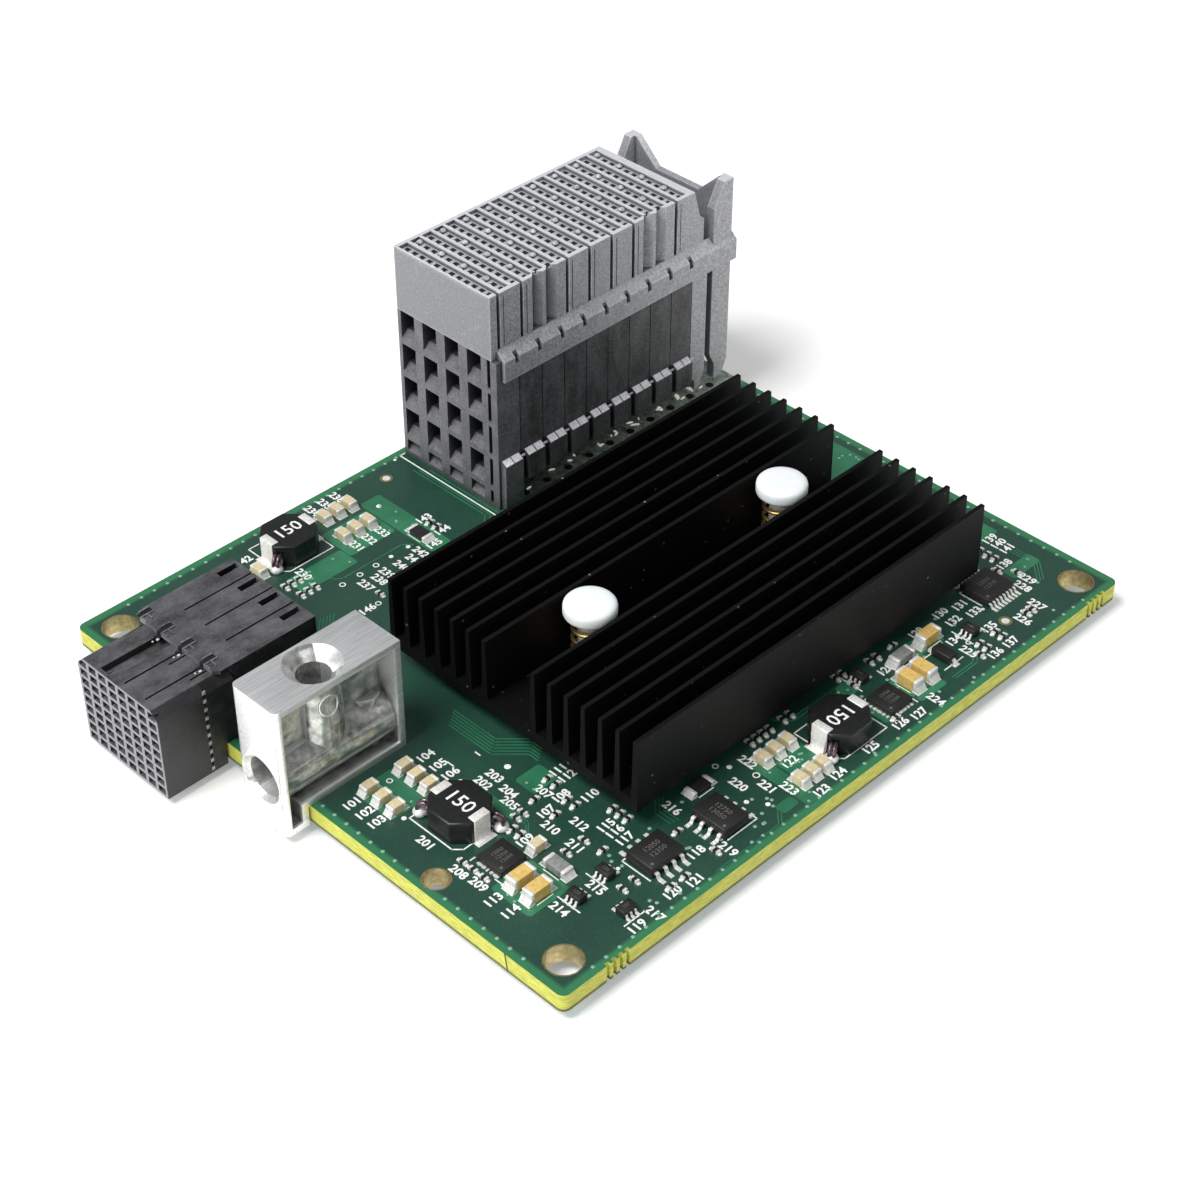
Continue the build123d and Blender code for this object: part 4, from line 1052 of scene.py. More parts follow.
# %% Printed outlines
ink = Finish("white_ink")
ink_worn = ink.noise(0.35, 3)
ink.set(
    Base_Color=ink.mix(ink_worn.ramp(0.3, 0.6), tone(214, 216, 210), tone(250, 250, 248)),
    Roughness=ink_worn * 0.2 + 0.5,
)
strokes = bmesh.new()
ink_tall = 0.04
outlines = []
cut = 0.9
for x0, y0, x1, y1 in ((6.35, 22.6, 13.46, 30.3), (46.2, 3.0, 54.4, 9.8), (23.9, 72.9, 31.7, 79.9)):
    outlines.append([(x0 + cut, y0), (x1, y0), (x1, y1), (x0, y1), (x0, y0 + cut), (x0 + cut, y0)])
outlines += [
    [(18.0, 5.2), (18.0, 9.4), (18.5, 9.4)], [(28.3, 3.55), (33.0, 3.55), (33.0, 4.1)],
    [(79.4, 8.9), (79.4, 12.3), (79.9, 12.3)], [(6.6, 16.1), (6.6, 17.0)], [(6.6, 20.9), (7.3, 20.9)],
    [(11.3, 20.9), (11.3, 20.1)], [(55.6, 3.3), (56.4, 3.3)], [(60.3, 3.3), (60.3, 4.1)],
    [(60.3, 7.9), (59.5, 7.9)], [(9.5, 7.2), (9.5, 10.5)], [(14.0, 7.6), (14.0, 10.8)],
    [(11.4, 2.6), (14.6, 2.6)], [(73.0, 5.2), (73.0, 8.4)], [(57.2, 9.0), (57.2, 12.2)],
    [(66.9, 4.6), (70.3, 4.6)], [(66.9, 7.6), (70.3, 7.6)], [(15.3, 33.0), (15.3, 34.0)],
    [(18.6, 32.2), (18.6, 33.0)], [(50.4, 62.9), (50.4, 81.6), (51.2, 81.6)],
    [(11.0, 52.6), (14.6, 52.6), (14.6, 69.6), (11.0, 69.6)],
]
for route in outlines:
    bars_along(strokes, route, 0.16, ink_tall)
print("outlines drawn:", len(outlines))

# %% [markdown]
# The larger two-ended parts have a line along each long side. A body's two ends are the two
# that are nearest to it, and the box of all three tells how long the line is and which way
# it runs.

# %% Lines beside the two-ended parts


def side_marks(kind):
    """A line along each long side of the two-ended parts of a kind, clear of their pads."""
    ends = solids_of(kind + "_ends")
    for body in solids_of(kind + "_bodies"):
        pair = sorted(ends, key=lambda end: (centre_of(end) - centre_of(body)).length)[:2]
        boxes = [body] + pair
        low_x, low_y = [min(box[0][axis] for box in boxes) / mm + hole_inset for axis in (0, 1)]
        high_x, high_y = [max(box[1][axis] for box in boxes) / mm + hole_inset for axis in (0, 1)]
        if high_x - low_x > high_y - low_y:
            for y in (low_y - 0.28, high_y + 0.28):
                bar(strokes, (low_x + 0.45, y), (high_x - 0.45, y), 0.13, ink_tall)
        else:
            for x in (low_x - 0.28, high_x + 0.28):
                bar(strokes, (x, low_y + 0.45), (x, high_y - 0.45), 0.13, ink_tall)


for kind in ("capacitor_large", "bead", "resistor"):
    side_marks(kind)
print("faces of print so far:", len(strokes.faces))

# %% [markdown]
# Rings and dots mark first pins and test points. A ring is a small square profile spun round
# its centre, and a dot is a thin disc. They join the lines in one piece.

# %% Rings and dots
for x, y, radius in (
    (38.05, 8.2, 0.45), (35.9, 12.4, 0.4), (72.8, 5.75, 0.35), (28.3, 60.6, 0.4), (8.7, 36.25, 0.4),
    (27.6, 66.4, 0.42), (30.4, 66.4, 0.42), (33.0, 66.4, 0.42),
):
    profile = [(radius - 0.14, 0.0), (radius, 0.0), (radius, ink_tall), (radius - 0.14, ink_tall)]
    turned(strokes, profile, on_board(x, y), 16)
for x, y, radius in (
    (36.9, 11.2, 0.32), (34.1, 6.1, 0.3), (35.5, 4.2, 0.3), (19.5, 28.7, 0.4), (41.2, 75.3, 0.35),
    (35.45, 66.4, 0.3), (38.25, 66.4, 0.3), (16.9, 8.9, 0.25), (27.9, 4.2, 0.25), (79.0, 8.4, 0.22),
    (6.6, 15.8, 0.24), (56.0, 2.9, 0.24), (14.2, 30.7, 0.3), (5.9, 30.7, 0.3), (49.3, 81.4, 0.22),
):
    disc(strokes, on_board(x, y, ink_tall / 2), radius, ink_tall, 12)
piece(strokes, "printed_outlines", ink, "tinned", mend=True)

# %% [markdown]
# The numbers are plain running ones. Each is a text curve, thickened a little because screen
# print spreads, and made a mesh before it is placed. In the default font a digit is 0.73
# high for a size of 1, and a wanted height is divided by that share.

# %% Number maker
digit_share = 0.73


def add_number(mesh, digits, tall, centre, degrees_round, bold=0.035):
    """Lays a number, tall millimetres high, on a level surface, turned about the upright axis."""
    curve = bpy.data.curves.new("number", "FONT")
    curve.body = digits
    curve.size = tall / digit_share * mm
    curve.extrude = ink_tall / 2 * mm
    curve.offset = bold * tall * mm
    curve.resolution_u = 2
    curve.align_x = "CENTER"
    curve.align_y = "CENTER"
    holder = bpy.data.objects.new("number", curve)
    data = bpy.data.meshes.new_from_object(holder)
    bpy.data.objects.remove(holder)
    bpy.data.curves.remove(curve)
    data.transform(Matrix.Translation(centre) @ Matrix.Rotation(radians(degrees_round), 4, "Z"))
    mesh.from_mesh(data)
    bpy.data.meshes.remove(data)


print("a digit is", digit_share, "of its size")

# %% [markdown]
# Some numbers read along the board's long side and the others across it. Both lists hold only
# places, and a counter gives the digits. A number that would print over an earlier one is
# left out.

# %% Numbers on the board
level_numbers = [
    (3.4, 36.4), (3.4, 34.3), (3.4, 32.3), (14.2, 36.4), (14.2, 34.3), (14.2, 32.3), (17.5, 20.5),
    (20.4, 21.1), (12.8, 18.9), (22.7, 18.9), (23.1, 24.3), (23.1, 22.9), (4.4, 14.9), (4.5, 12.4),
    (20.6, 14.35), (20.6, 13.0), (20.6, 11.5), (24.5, 4.65), (12.3, 1.6), (18.4, 2.35), (21.4, 1.9),
    (42.25, 7.0), (41.3, 1.4), (44.6, 1.9), (50.5, 2.1), (56.0, 2.3), (58.8, 1.9), (62.0, 9.5),
    (69.8, 11.2), (74.7, 11.5), (77.6, 10.8), (74.7, 9.5), (77.8, 8.8), (71.9, 7.2), (76.8, 5.75),
    (73.5, 2.25), (76.4, 2.25), (87.8, 11.9), (90.6, 16.3), (90.6, 14.95), (90.6, 13.6),
    (22.0, 78.5), (43.5, 69.3), (43.5, 65.9), (40.9, 64.5), (26.6, 60.6),
]
turned_numbers = [
    (5.0, 26.2), (15.75, 28.7), (17.4, 28.6), (16.8, 25.7), (15.6, 24.3), (16.9, 23.8), (19.5, 23.0),
    (4.55, 20.5), (4.8, 17.7), (16.1, 18.4), (16.0, 14.5), (18.7, 16.6), (18.4, 14.5), (8.3, 9.1),
    (13.2, 8.6), (27.6, 11.2), (14.9, 1.6), (16.8, 1.4), (27.3, 2.6), (35.5, 8.6), (37.5, 6.1),
    (38.9, 10.3), (39.0, 4.2), (62.1, 2.1), (71.5, 4.7), (80.8, 3.8), (84.3, 4.35), (85.9, 7.7),
    (87.5, 8.2), (25.5, 71.3), (33.8, 71.0), (35.8, 71.0), (37.9, 71.0), (34.5, 80.5), (36.6, 80.5),
    (38.6, 80.5), (29.5, 64.3), (31.4, 64.0), (32.9, 64.3), (35.1, 64.1), (37.0, 64.0), (38.6, 64.5),
]
numbers = bmesh.new()
number_tall = 1.15
number_wide = 2.3
taken = []
for first, places, degrees_round in ((101, level_numbers, 0), (201, turned_numbers, -90)):
    half = Vector((number_wide, number_tall)) / 2
    if degrees_round:
        half = half.yx
    for index, (x, y) in enumerate(places):
        rooms = [(abs(x - u), abs(y - v), half + other) for u, v, other in taken]
        if any(gap_x < room.x and gap_y < room.y for gap_x, gap_y, room in rooms):
            continue
        taken.append((x, y, half))
        add_number(numbers, str(first + index), number_tall, on_board(x, y, ink_tall / 2), degrees_round)
print("numbers printed:", len(taken))
piece(numbers, "printed_numbers", ink, "tinned")

# %% [markdown]
# A push pin is turned nylon: a broad head with a rounded rim, a plain shaft, and a barb that
# snaps under the board. The CAD pin has the sizes and few faces, so a smooth one is spun
# from the same places and stands for it.

# %% Push pins
pins = bmesh.new()
for low_corner, high_corner in solids_of("push_pins"):
    centre = ((low_corner + high_corner) / 2).xy.to_3d()
    head = (high_corner.x - low_corner.x) / 2 / mm
    top = high_corner.z / mm
    profile = [
        (0.0, top - 0.02), (head - 1.2, top - 0.02), (head - 0.6, top - 0.07), (head - 0.25, top - 0.2),
        (head - 0.06, top - 0.42), (head, top - 0.7), (head, top - 1.5), (head - 0.08, top - 1.72),
        (head - 0.25, top - 1.86), (head - 0.5, top - 1.9), (1.4, top - 1.9), (1.4, 0.0), (1.7, -0.05),
        (1.72, -0.25), (1.1, -1.48), (0.0, -1.48),
    ]
    turned(pins, profile, centre, 48, closed=False)
bmesh.ops.remove_doubles(pins, verts=pins.verts, dist=1e-7)
piece(pins, "push_pins_turned", nylon, "pin_plastic", "push_pins", mend=True, smooth=True)

# %% [markdown]
# Under each head a coil spring presses the sink down. The wire is a circle swept by a spin
# that climbs as it turns, which is a helix, and it stays between the sink's base and the head.

# %% Springs
springs = bmesh.new()
wire = 0.24 * mm
coil_radius = 2.05 * mm
turns = 4.5
steps = 108
for low_corner, high_corner in solids_of("push_pin_springs"):
    centre = ((low_corner + high_corner) / 2).xy.to_3d()
    rise = high_corner.z - low_corner.z - 2 * wire
    start = Vector((centre.x + coil_radius, centre.y, low_corner.z + wire))
    upright = Matrix.Translation(start) @ Matrix.Rotation(pi / 2, 4, "X")
    swept_wire(
        springs, upright, wire, 10, cent=centre, axis=(0, 0, 1), dvec=(0, 0, rise / steps),
        angle=2 * pi * turns, steps=steps, use_merge=False,
    )
piece(springs, "coil_springs", brass, "spring_brass", "push_pin_springs", mend=True, smooth=True)

# %% [markdown]
# A real moulding or casting has no knife-sharp edge: each corner carries a small radius that
# catches a line of light. A copy of a CAD node's mesh is welded, its flat triangles are merged
# into whole faces, and only then are its sharp edges bevelled, so that the bevel follows the
# real edges. The softened copy stands for the node.

# %% Softened copies of plain solids


def softened(node, name, radius, finish, slot, steps, sharp=40):
    """A copy of a CAD node with its sharp edges rounded by a radius in millimetres."""
    mesh = bmesh.new()
    mesh.from_mesh(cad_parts[node].data)
    bmesh.ops.remove_doubles(mesh, verts=mesh.verts, dist=1e-7)
    bmesh.ops.dissolve_limit(mesh, angle_limit=radians(1), verts=mesh.verts, edges=mesh.edges)
    edges = [e for e in mesh.edges if e.is_manifold and e.calc_face_angle() > radians(sharp)]
    bmesh.ops.bevel(
        mesh, geom=edges, offset=radius * mm, offset_type="OFFSET", segments=steps, affect="EDGES",
        profile=0.5, material=-1, clamp_overlap=True,
    )
    made = piece(mesh, name, finish, slot, node)
    made.data.shade_smooth()
    made.data.set_sharp_from_angle(angle=radians(35))


for node, name, radius, finish, slot, steps in (
    ("choke_bodies", "choke_shells", 0.22, ferrite, "ferrite", 3),
    ("capacitor_small_bodies", "small_capacitor_cores", 0.05, beige, "tan_ceramic", 1),
    ("capacitor_large_bodies", "large_capacitor_cores", 0.06, tan, "tan_ceramic", 1),
    ("capacitor_small_ends", "small_capacitor_caps", 0.12, tin, "tinned", 2),
    ("capacitor_large_ends", "large_capacitor_caps", 0.14, tin, "tinned", 2),
    ("bead_bodies", "bead_cores", 0.08, bead_grey, "grey_ceramic", 2),
    ("bead_ends", "bead_caps", 0.12, tin, "tinned", 2),
    ("resistor_ends", "resistor_caps", 0.1, tin, "tinned", 2),
    ("choke_clips", "choke_straps", 0.08, tin, "tinned", 2),
    ("so8_bodies", "eight_lead_chips", 0.12, chip_black, "moulding", 2),
    ("tssop_bodies", "sixteen_lead_chip", 0.08, chip_black, "moulding", 2),
    ("sc70_bodies", "six_lead_chips", 0.07, chip_black, "moulding", 2),
    ("flat_chips", "leadless_chips", 0.05, chip_black, "moulding", 2),
    ("diode_body", "diode_shell", 0.1, chip_black, "moulding", 2),
):
    softened(node, name, radius, finish, slot, steps)

# %% [markdown]
# The leads of the chips are stamped strips. A strip is grown by pulling one short edge from
# point to point of a bend, and is then given its thickness at once.

# %% Ribbon maker


def ribbon(mesh, points, across, thick):
    """A strip of metal along points, as wide as the vector across."""
    first = [mesh.verts.new(points[0] - across / 2), mesh.verts.new(points[0] + across / 2)]
    edge = mesh.edges.new(first)
    faces = []
    for start, end in zip(points, points[1:]):
        grown = bmesh.ops.extrude_edge_only(mesh, edges=[edge])["geom"]
        verts = [item for item in grown if isinstance(item, bmesh.types.BMVert)]
        faces += [item for item in grown if isinstance(item, bmesh.types.BMFace)]
        bmesh.ops.translate(mesh, verts=verts, vec=end - start)
        edge = next(e for e in verts[0].link_edges if e.other_vert(verts[0]) is verts[1])
    bmesh.ops.recalc_face_normals(mesh, faces=faces)
    bmesh.ops.solidify(mesh, geom=faces, thickness=thick)


print("ribbon maker ready")

# %% [markdown]
# Each lead leaves the body level, drops in a soft S and ends in a flat foot. The bend is
# given as shares of the lead's own box in the CAD model, so that one recipe fits three kinds
# of chip.

# %% Bent leads


def bent_leads(kind, name, thick):
    """Bent ribbons in the boxes of the leads of a kind of chip."""
    bodies = solids_of(kind + "_bodies")
    leads_node = kind + "_leads"
    mesh = bmesh.new()
    for lead in solids_of(leads_node):
        axis, sign = outward(lead, bodies)
        low_corner, high_corner = lead
        inner = low_corner[axis] if sign > 0 else high_corner[axis]
        reach = high_corner[axis] - low_corner[axis]
        middle_line = (low_corner[1 - axis] + high_corner[1 - axis]) / 2
        top = high_corner.z - thick * mm / 2
        foot = board_top + (0.06 + thick / 2) * mm
        across = Vector((0, 0, 0))
        across[1 - axis] = high_corner[1 - axis] - low_corner[1 - axis]
        points = []
        drop = top - foot
        for share, height in (
            (-0.05, top), (0.26, top), (0.36, top - drop * 0.12), (0.5, foot + drop * 0.14),
            (0.6, foot), (0.98, foot),
        ):
            point = Vector((0, 0, height))
            point[axis] = inner + sign * reach * share
            point[1 - axis] = middle_line
            points.append(point)
        ribbon(mesh, points, across, thick * mm)
    piece(mesh, name, tin, "tinned", leads_node, mend=True)


bent_leads("so8", "eight_lead_feet", 0.18)
bent_leads("tssop", "sixteen_lead_feet", 0.14)
bent_leads("sc70", "six_lead_feet", 0.13)

# %% [markdown]
# Each choke's coil ends leave through an arch at a corner of the body. What shows there are
# two half loops of thick wire, dark with enamel, that dive into a blob of solder. A loop is a
# small circle spun about a level axis, and the blob is a flattened ball.

# %% Choke wire
enamel = metal("enamelled_wire", tone(56, 44, 50), tone(150, 132, 140), 0.4, 0.2, 0.01, share=0.8)
loops = bmesh.new()
blobs = bmesh.new()
choke_boxes = solids_of("choke_bodies")
loop_height, loop_radius, wire_radius = 1.15 * mm, 0.8 * mm, 0.23 * mm
for low_corner, high_corner in solids_of("choke_coil_ends"):
    centre = (low_corner + high_corner) / 2
    nearest = min(choke_boxes, key=lambda box: (centre_of(box) - centre).length)
    away = centre - centre_of(nearest)
    away.z = 0.0
    outward_way = away.normalized()
    spin_axis = outward_way.cross(Vector((0, 0, 1)))
    hub = centre + outward_way * 0.1 * mm
    hub.z = board_top + loop_height
    start = hub + Vector((0, 0, loop_radius))
    facing_wire = outward_way.to_track_quat("Z", "Y").to_matrix().to_4x4()
    for side_way in (-1, 1):
        shift = spin_axis * side_way * 0.26 * mm
        swept_wire(
            loops, Matrix.Translation(start + shift) @ facing_wire, wire_radius, 10,
            cent=hub + shift, axis=spin_axis, angle=2 * pi, steps=24, use_merge=True,
        )
    drop = hub + outward_way * 0.55 * mm
    drop.z = board_top + 0.4 * mm
    ball(blobs, drop, (0.85, 0.85, 0.62), 3)
piece(loops, "choke_wire_loops", enamel, "tinned", "choke_coil_ends", mend=True, smooth=True)
piece(blobs, "choke_wire_solder", solder, "tinned", smooth=True)

# %% [markdown]
# A plain number is printed on top of each choke, and is turned as the choke is.

# %% Choke numbers
choke_marks = bmesh.new()
for x, y, round_angle in ((9.95, 26.0, -90), (49.7, 6.2, 180), (27.6, 76.4, 0)):
    add_number(choke_marks, "150", 1.9, on_board(x, y, 3.0), round_angle, bold=0.01)
piece(choke_marks, "choke_numbers", ink, "ferrite")

# %% [markdown]
# Chips carry a faint laser mark. A plain number in a slightly paler grey, in one to three
# rows, and a round dimple by the first lead give each top face its busy look.

# %% Chip marks
laser = mottled("laser_grey", tone(84, 83, 80), tone(108, 106, 102), 0.2, 0.5, 0.01)
chip_marks = bmesh.new()
for node, tall, rows in (
    ("so8_bodies", 0.7, 2), ("tssop_bodies", 0.65, 2), ("flat_chips", 0.5, 3), ("sc70_bodies", 0.45, 1),
):
    for index, (low_corner, high_corner) in enumerate(solids_of(node)):
        centre = (low_corner + high_corner) / 2
        centre.z = high_corner.z
        span = high_corner - low_corner
        turn_round = 0 if span.x >= span.y else -90
        down = Vector((0, -1, 0)) if turn_round == 0 else Vector((-1, 0, 0))
        for row in range(rows):
            place = centre + down * (row - (rows - 1) / 2) * tall * 1.4 * mm
            digits = "1" + str(20 + index * 7 + row * 3) + ("50" if span.length > 0.004 else "")
            add_number(chip_marks, digits, tall, place, turn_round, bold=0.0)
for node in ("so8_bodies", "tssop_bodies", "flat_chips"):
    for low_corner, high_corner in solids_of(node):
        spot = Vector((low_corner.x + 0.55 * mm, low_corner.y + 0.55 * mm, high_corner.z))
        disc(chip_marks, spot, 0.2, 0.03, 16)
piece(chip_marks, "chip_numbers", laser, "moulding")

# %% [markdown]
# The tall connector's cap is a field of small sockets between low ridges. Beside every third
# socket a round pip stands against the ridge and catches the light. It is a squeezed ball,
# half sunk in the groove, repeated once to each slice and four times across.

# %% Pips on the cap
slice_pitch = 3.87
slices = 9
stack_x, stack_y, stack_deep = 51.5, 63.8, 18.0
socket_floor = cap_height - 0.45
pip_finish = moulded("cap_pips", tone(156, 157, 163), tone(190, 191, 196), 0.6, 0.35, corners=0.3)
pips = bmesh.new()
for column in range(slices):
    for row in range(4):
        pip_x = stack_x + slice_pitch * (column + 1) - 0.55
        pip_y = stack_y + stack_deep - 1.15 - 4.0 * row
        ball(pips, on_board(pip_x, pip_y, socket_floor), (0.5, 0.48, 0.38), 2)
piece(pips, "cap_pips", pip_finish, "grey_plastic", smooth=True)

# %% [markdown]
# Every socket is a funnel in the plastic with a springy contact at one side. From above, the
# mouth reads as a dark corner beside a pale sliver: the dark corner is a painted shade inside
# the funnel, and the sliver a painted highlight on the contact. Both are flat shapes that lie
# on the floor of the groove, over the funnel, and they repeat along two rows for each slice.

# %% Socket mouths
painted_highlight_grey = moulded("painted_highlight_grey", tone(176, 177, 181), tone(214, 215, 218), 0.5, 0.4, corners=0.2)
mouth_painted_shade = mottled("socket_dark", tone(12, 12, 14), tone(30, 30, 33), 0.2, 0.5, 0.005)
mouths = bmesh.new()
slivers = bmesh.new()
socket_count = 12
socket_pitch = 1.333
mouth_half = 0.44
field_middle = stack_y + 9.425
for column in range(2 * slices):
    for row in range(socket_count):
        x = stack_x + slice_pitch / 2 * (column + 0.5)
        y = field_middle + (row - (socket_count - 1) / 2) * socket_pitch
        z = socket_floor - 0.02
        corners = [
            on_board(x - mouth_half, y - mouth_half, z),
            on_board(x + mouth_half, y - mouth_half, z),
            on_board(x + mouth_half, y + mouth_half * 0.8, z),
        ]
        # Dark triangle: a painted shade inside the funnel.
        mouths.faces.new([mouths.verts.new(corner) for corner in corners])
        # Pale sliver: a painted highlight on the contact.
        slab(slivers, (x - 0.52, y - 0.3, z - 0.02), (x - 0.26, y + 0.36, z + 0.12))
extruded = bmesh.ops.extrude_face_region(mouths, geom=mouths.faces[:])["geom"]
lifted = [item for item in extruded if isinstance(item, bmesh.types.BMVert)]
bmesh.ops.translate(mouths, verts=lifted, vec=(0, 0, 0.03 * mm))
piece(mouths, "socket_mouths", mouth_painted_shade, "grey_plastic", mend=True)
piece(slivers, "socket_slivers", painted_highlight_grey, "grey_plastic")

# %% [markdown]
# Beside each slot of the cap's flank runs a dark line along a rib's edge, a painted shade, and
# the slot's own lip gets a painted highlight. Both are hair-thin bars on the flank, one pair
# to each slot.

# %% Lines on the flank
rib_edge_shade = mottled("flank_line", tone(26, 26, 28), tone(52, 52, 55), 0.2, 0.5, 0.005)
rib_shade_lines = bmesh.new()
lip_highlights = bmesh.new()
flank_face = stack_y + 0.85
key_slots = (2, 7)
for index in range(slices):
    slot_x = stack_x + slice_pitch * index + 1.35
    if index in key_slots:
        continue
    # Painted shade along a rib's edge.
    slab(rib_shade_lines, (slot_x + 0.84, flank_face - 0.02, 23.4), (slot_x + 0.94, flank_face + 0.02, 30.3))
    # Painted highlight on the slot's lip.
    slab(lip_highlights, (slot_x + 0.25, flank_face - 0.03, 23.2), (slot_x + 0.36, flank_face + 0.02, 30.9))
piece(rib_shade_lines, "flank_shade_lines", rib_edge_shade, "grey_plastic")
piece(lip_highlights, "flank_slot_highlights", painted_highlight_grey, "grey_plastic")

# %% [markdown]
# On the connector's outer side each slice stands on a foot whose sloping shoulder shows two
# bright squares, where the stamped shield inside comes to the surface, and a short bar of
# the same metal beside them. Flat squares are laid on the slope, a hair proud of it. Their
# colour is the metal's own pale tone pushed near white, a painted reflection.

# %% Shield windows on the feet
# The metal's own tone, pushed near white as a painted reflection.
shield_and_painted_reflection = metal("shield_metal", tone(206, 205, 214), tone(250, 249, 255), 0.35, 0.35, 0.01, share=0.1)
windows = bmesh.new()
foot_slope = Matrix.Rotation(0.588, 4, "X")
window_size = scaled(1.3 * mm, 0.98 * mm, 0.05 * mm)
for index in range(slices):
    foot_x = stack_x + slice_pitch * index + 0.35
    for square in (0.82, 2.3):
        place = Matrix.Translation(on_board(foot_x + square, stack_y - 0.45, 7.1))
        bmesh.ops.create_cube(windows, size=1.0, matrix=place @ foot_slope @ window_size)
    slab(windows, (foot_x + 3.1, stack_y - 0.42, 6.7), (foot_x + 3.84, stack_y - 0.22, 6.92))
piece(windows, "shield_windows", shield_and_painted_reflection, "tinned")

# %% [markdown]
# A row of plated holes runs along the board in front of the feet, one on each side of every
# slice, and the solder under the connector leaves bright specks between them. The holes are
# dark discs, a painted shade for their dark insides, and the specks are thin flattened balls
# strewn with a fixed seed, more of them towards the far end. The specks glow a little, a
# painted highlight.

# %% Holes and solder by the feet
# Dark discs: a painted shade for the holes' dark insides.
hole_painted_shade = mottled("hole_dark", tone(6, 9, 8), tone(14, 20, 17), 0.2, 0.6, 0.005)
solder_painted_glint = metal("solder_glint", tone(214, 216, 212), tone(255, 255, 252), 0.3, 0.25, 0.02, share=0.2)
# A faint glow on the specks, a painted highlight.
solder_painted_glint.set(Emission_Color=(0.9, 1.0, 0.92, 1.0), Emission_Strength=0.32)
row_start, row_pitch, row_y = 56.4, 3.84, 64.3
pits = bmesh.new()
specks = bmesh.new()
chance = random.Random(31)
for index in range(slices + 1):
    hole_x = row_start + row_pitch * index
    place = Matrix.Translation(on_board(hole_x, row_y, 0.07))
    bmesh.ops.create_circle(pits, cap_ends=True, segments=18, radius=0.56 * mm, matrix=place)
    for drop in range((index + 1) // 2):
        place = on_board(hole_x + chance.uniform(-2.9, -1.0), 65.0 + chance.uniform(-0.5, 0.8), 0.05)
        broad = chance.uniform(0.07, 0.12)
        radii = (broad * chance.uniform(2.0, 6.5), broad, 0.2)
        turn = chance.choice((-0.5, -0.2, 1.2, 1.6)) + chance.uniform(-0.25, 0.25)
        ball(specks, place, radii, 2, Matrix.Rotation(turn, 4, "Z"))
piece(pits, "foot_row_holes", hole_painted_shade, "mask")
piece(specks, "solder_specks", solder_painted_glint, "tinned", smooth=True)

# %% [markdown]
# The guide block is die cast. Its mould and its tumbling leave three marks: corners rounded
# by a few tenths, a skin that flowed in waves inside the pockets, and fine scratches along
# the flat faces. The copy is softened first. Its finish then scratches only the faces that
# look up or along the card, and lets the pockets ripple. Inside the pockets a darker, blotchy
# tone is a painted reflection, and their corners get a painted shade; the outer edges get a
# painted highlight.

# %% Guide block
cast = Finish("cast_metal")
cast_low, cast_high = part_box("guide_block")
cast_middle = (cast_low.y + cast_high.y) / 2 / mm
cast_half = (cast_high.y - cast_low.y) / 2 / mm
rim_face = abs(cast.axis("Y") - cast_middle) > cast_half - 0.35
flat_face = (abs(cast.facing("Y")) < 0.5) * cast.painted_gap_shade(1.5).ramp(0.6, 0.2)
flat_face = flat_face.most(rim_face)
ripple = cast.noise(3.4, 2, stretch=(0.7, 1.0, 1.3))
scratch = cast.noise(0.2, 4, stretch=(0.04, 1.0, 1.0), rough=0.7)
bloom = cast.noise(1.5, 5, rough=0.65)
pit = cast.specks(1.3, 0.06)
# Darker, blotchy tone in the pockets: a painted reflection.
pocket_painted_reflection = cast.mix(bloom.ramp(0.36, 0.62), tone(150, 153, 148), tone(226, 227, 221))
flat_skin = cast.mix(scratch.ramp(0.35, 0.65), tone(214, 215, 216), tone(250, 250, 250))
skin = cast.mix(flat_face, pocket_painted_reflection, flat_skin)
# Painted shade in the pockets' corners.
skin = cast.mix(cast.painted_gap_shade(3.0) * (1 - rim_face) * 0.55, skin, tone(70, 74, 72))
# Painted highlight along the outer edges.
skin = cast.mix(cast.painted_edge_highlight(0.5) * 0.6, skin, tone(252, 252, 250))
cast.set(
    Base_Color=cast.mix(pit * 0.35, skin, tone(96, 98, 96)),
    Roughness=0.2 + bloom * 0.08 + flat_face * 0.16,
    Metallic=0.8,
)
cast.relief(ripple * (1 - flat_face) * 0.5 + scratch * flat_face * 0.03 + bloom * 0.05, 0.5)
softened("guide_block", "guide_casting", 0.3, cast, "cast_metal", 3, sharp=30)

# %% [markdown]
# An ejector pin of the mould left a raised ring on the boss under the top hole. It is a thin
# ring laid flat, then wrapped onto the round boss by moving each point out to the boss's
# own radius, so that it sits on the curve all the way round.

# %% Ejector ring
boss_centre = on_board(4.8, 43.1)
boss_radius = 2.95 * mm
ring_radius = 1.15 * mm
ring_place = on_board(4.4, 43.1, 11.4)
ring_start = Matrix.Translation(ring_place + Vector((ring_radius, 0, 0)))
ring_mesh = bmesh.new()
swept_wire(
    ring_mesh, ring_start, 0.13 * mm, 8, cent=ring_place, axis=(0, 1, 0), angle=2 * pi, steps=36,
    use_merge=True,
)
for vert in ring_mesh.verts:
    side_step = vert.co.x - boss_centre.x
    height = vert.co.y - ring_place.y
    vert.co.y = boss_centre.y - (boss_radius**2 - side_step**2) ** 0.5 + height
    vert.co.z = ring_place.z + (vert.co.z - ring_place.z) * 1.25
piece(ring_mesh, "ejector_ring", cast, "cast_metal", mend=True, smooth=True)

# %% [markdown]
# Leadless chips have no legs. Their pads end flush with the body's foot, and only a row of
# bright dashes of solder shows on each side. One loop lays them round every such chip.

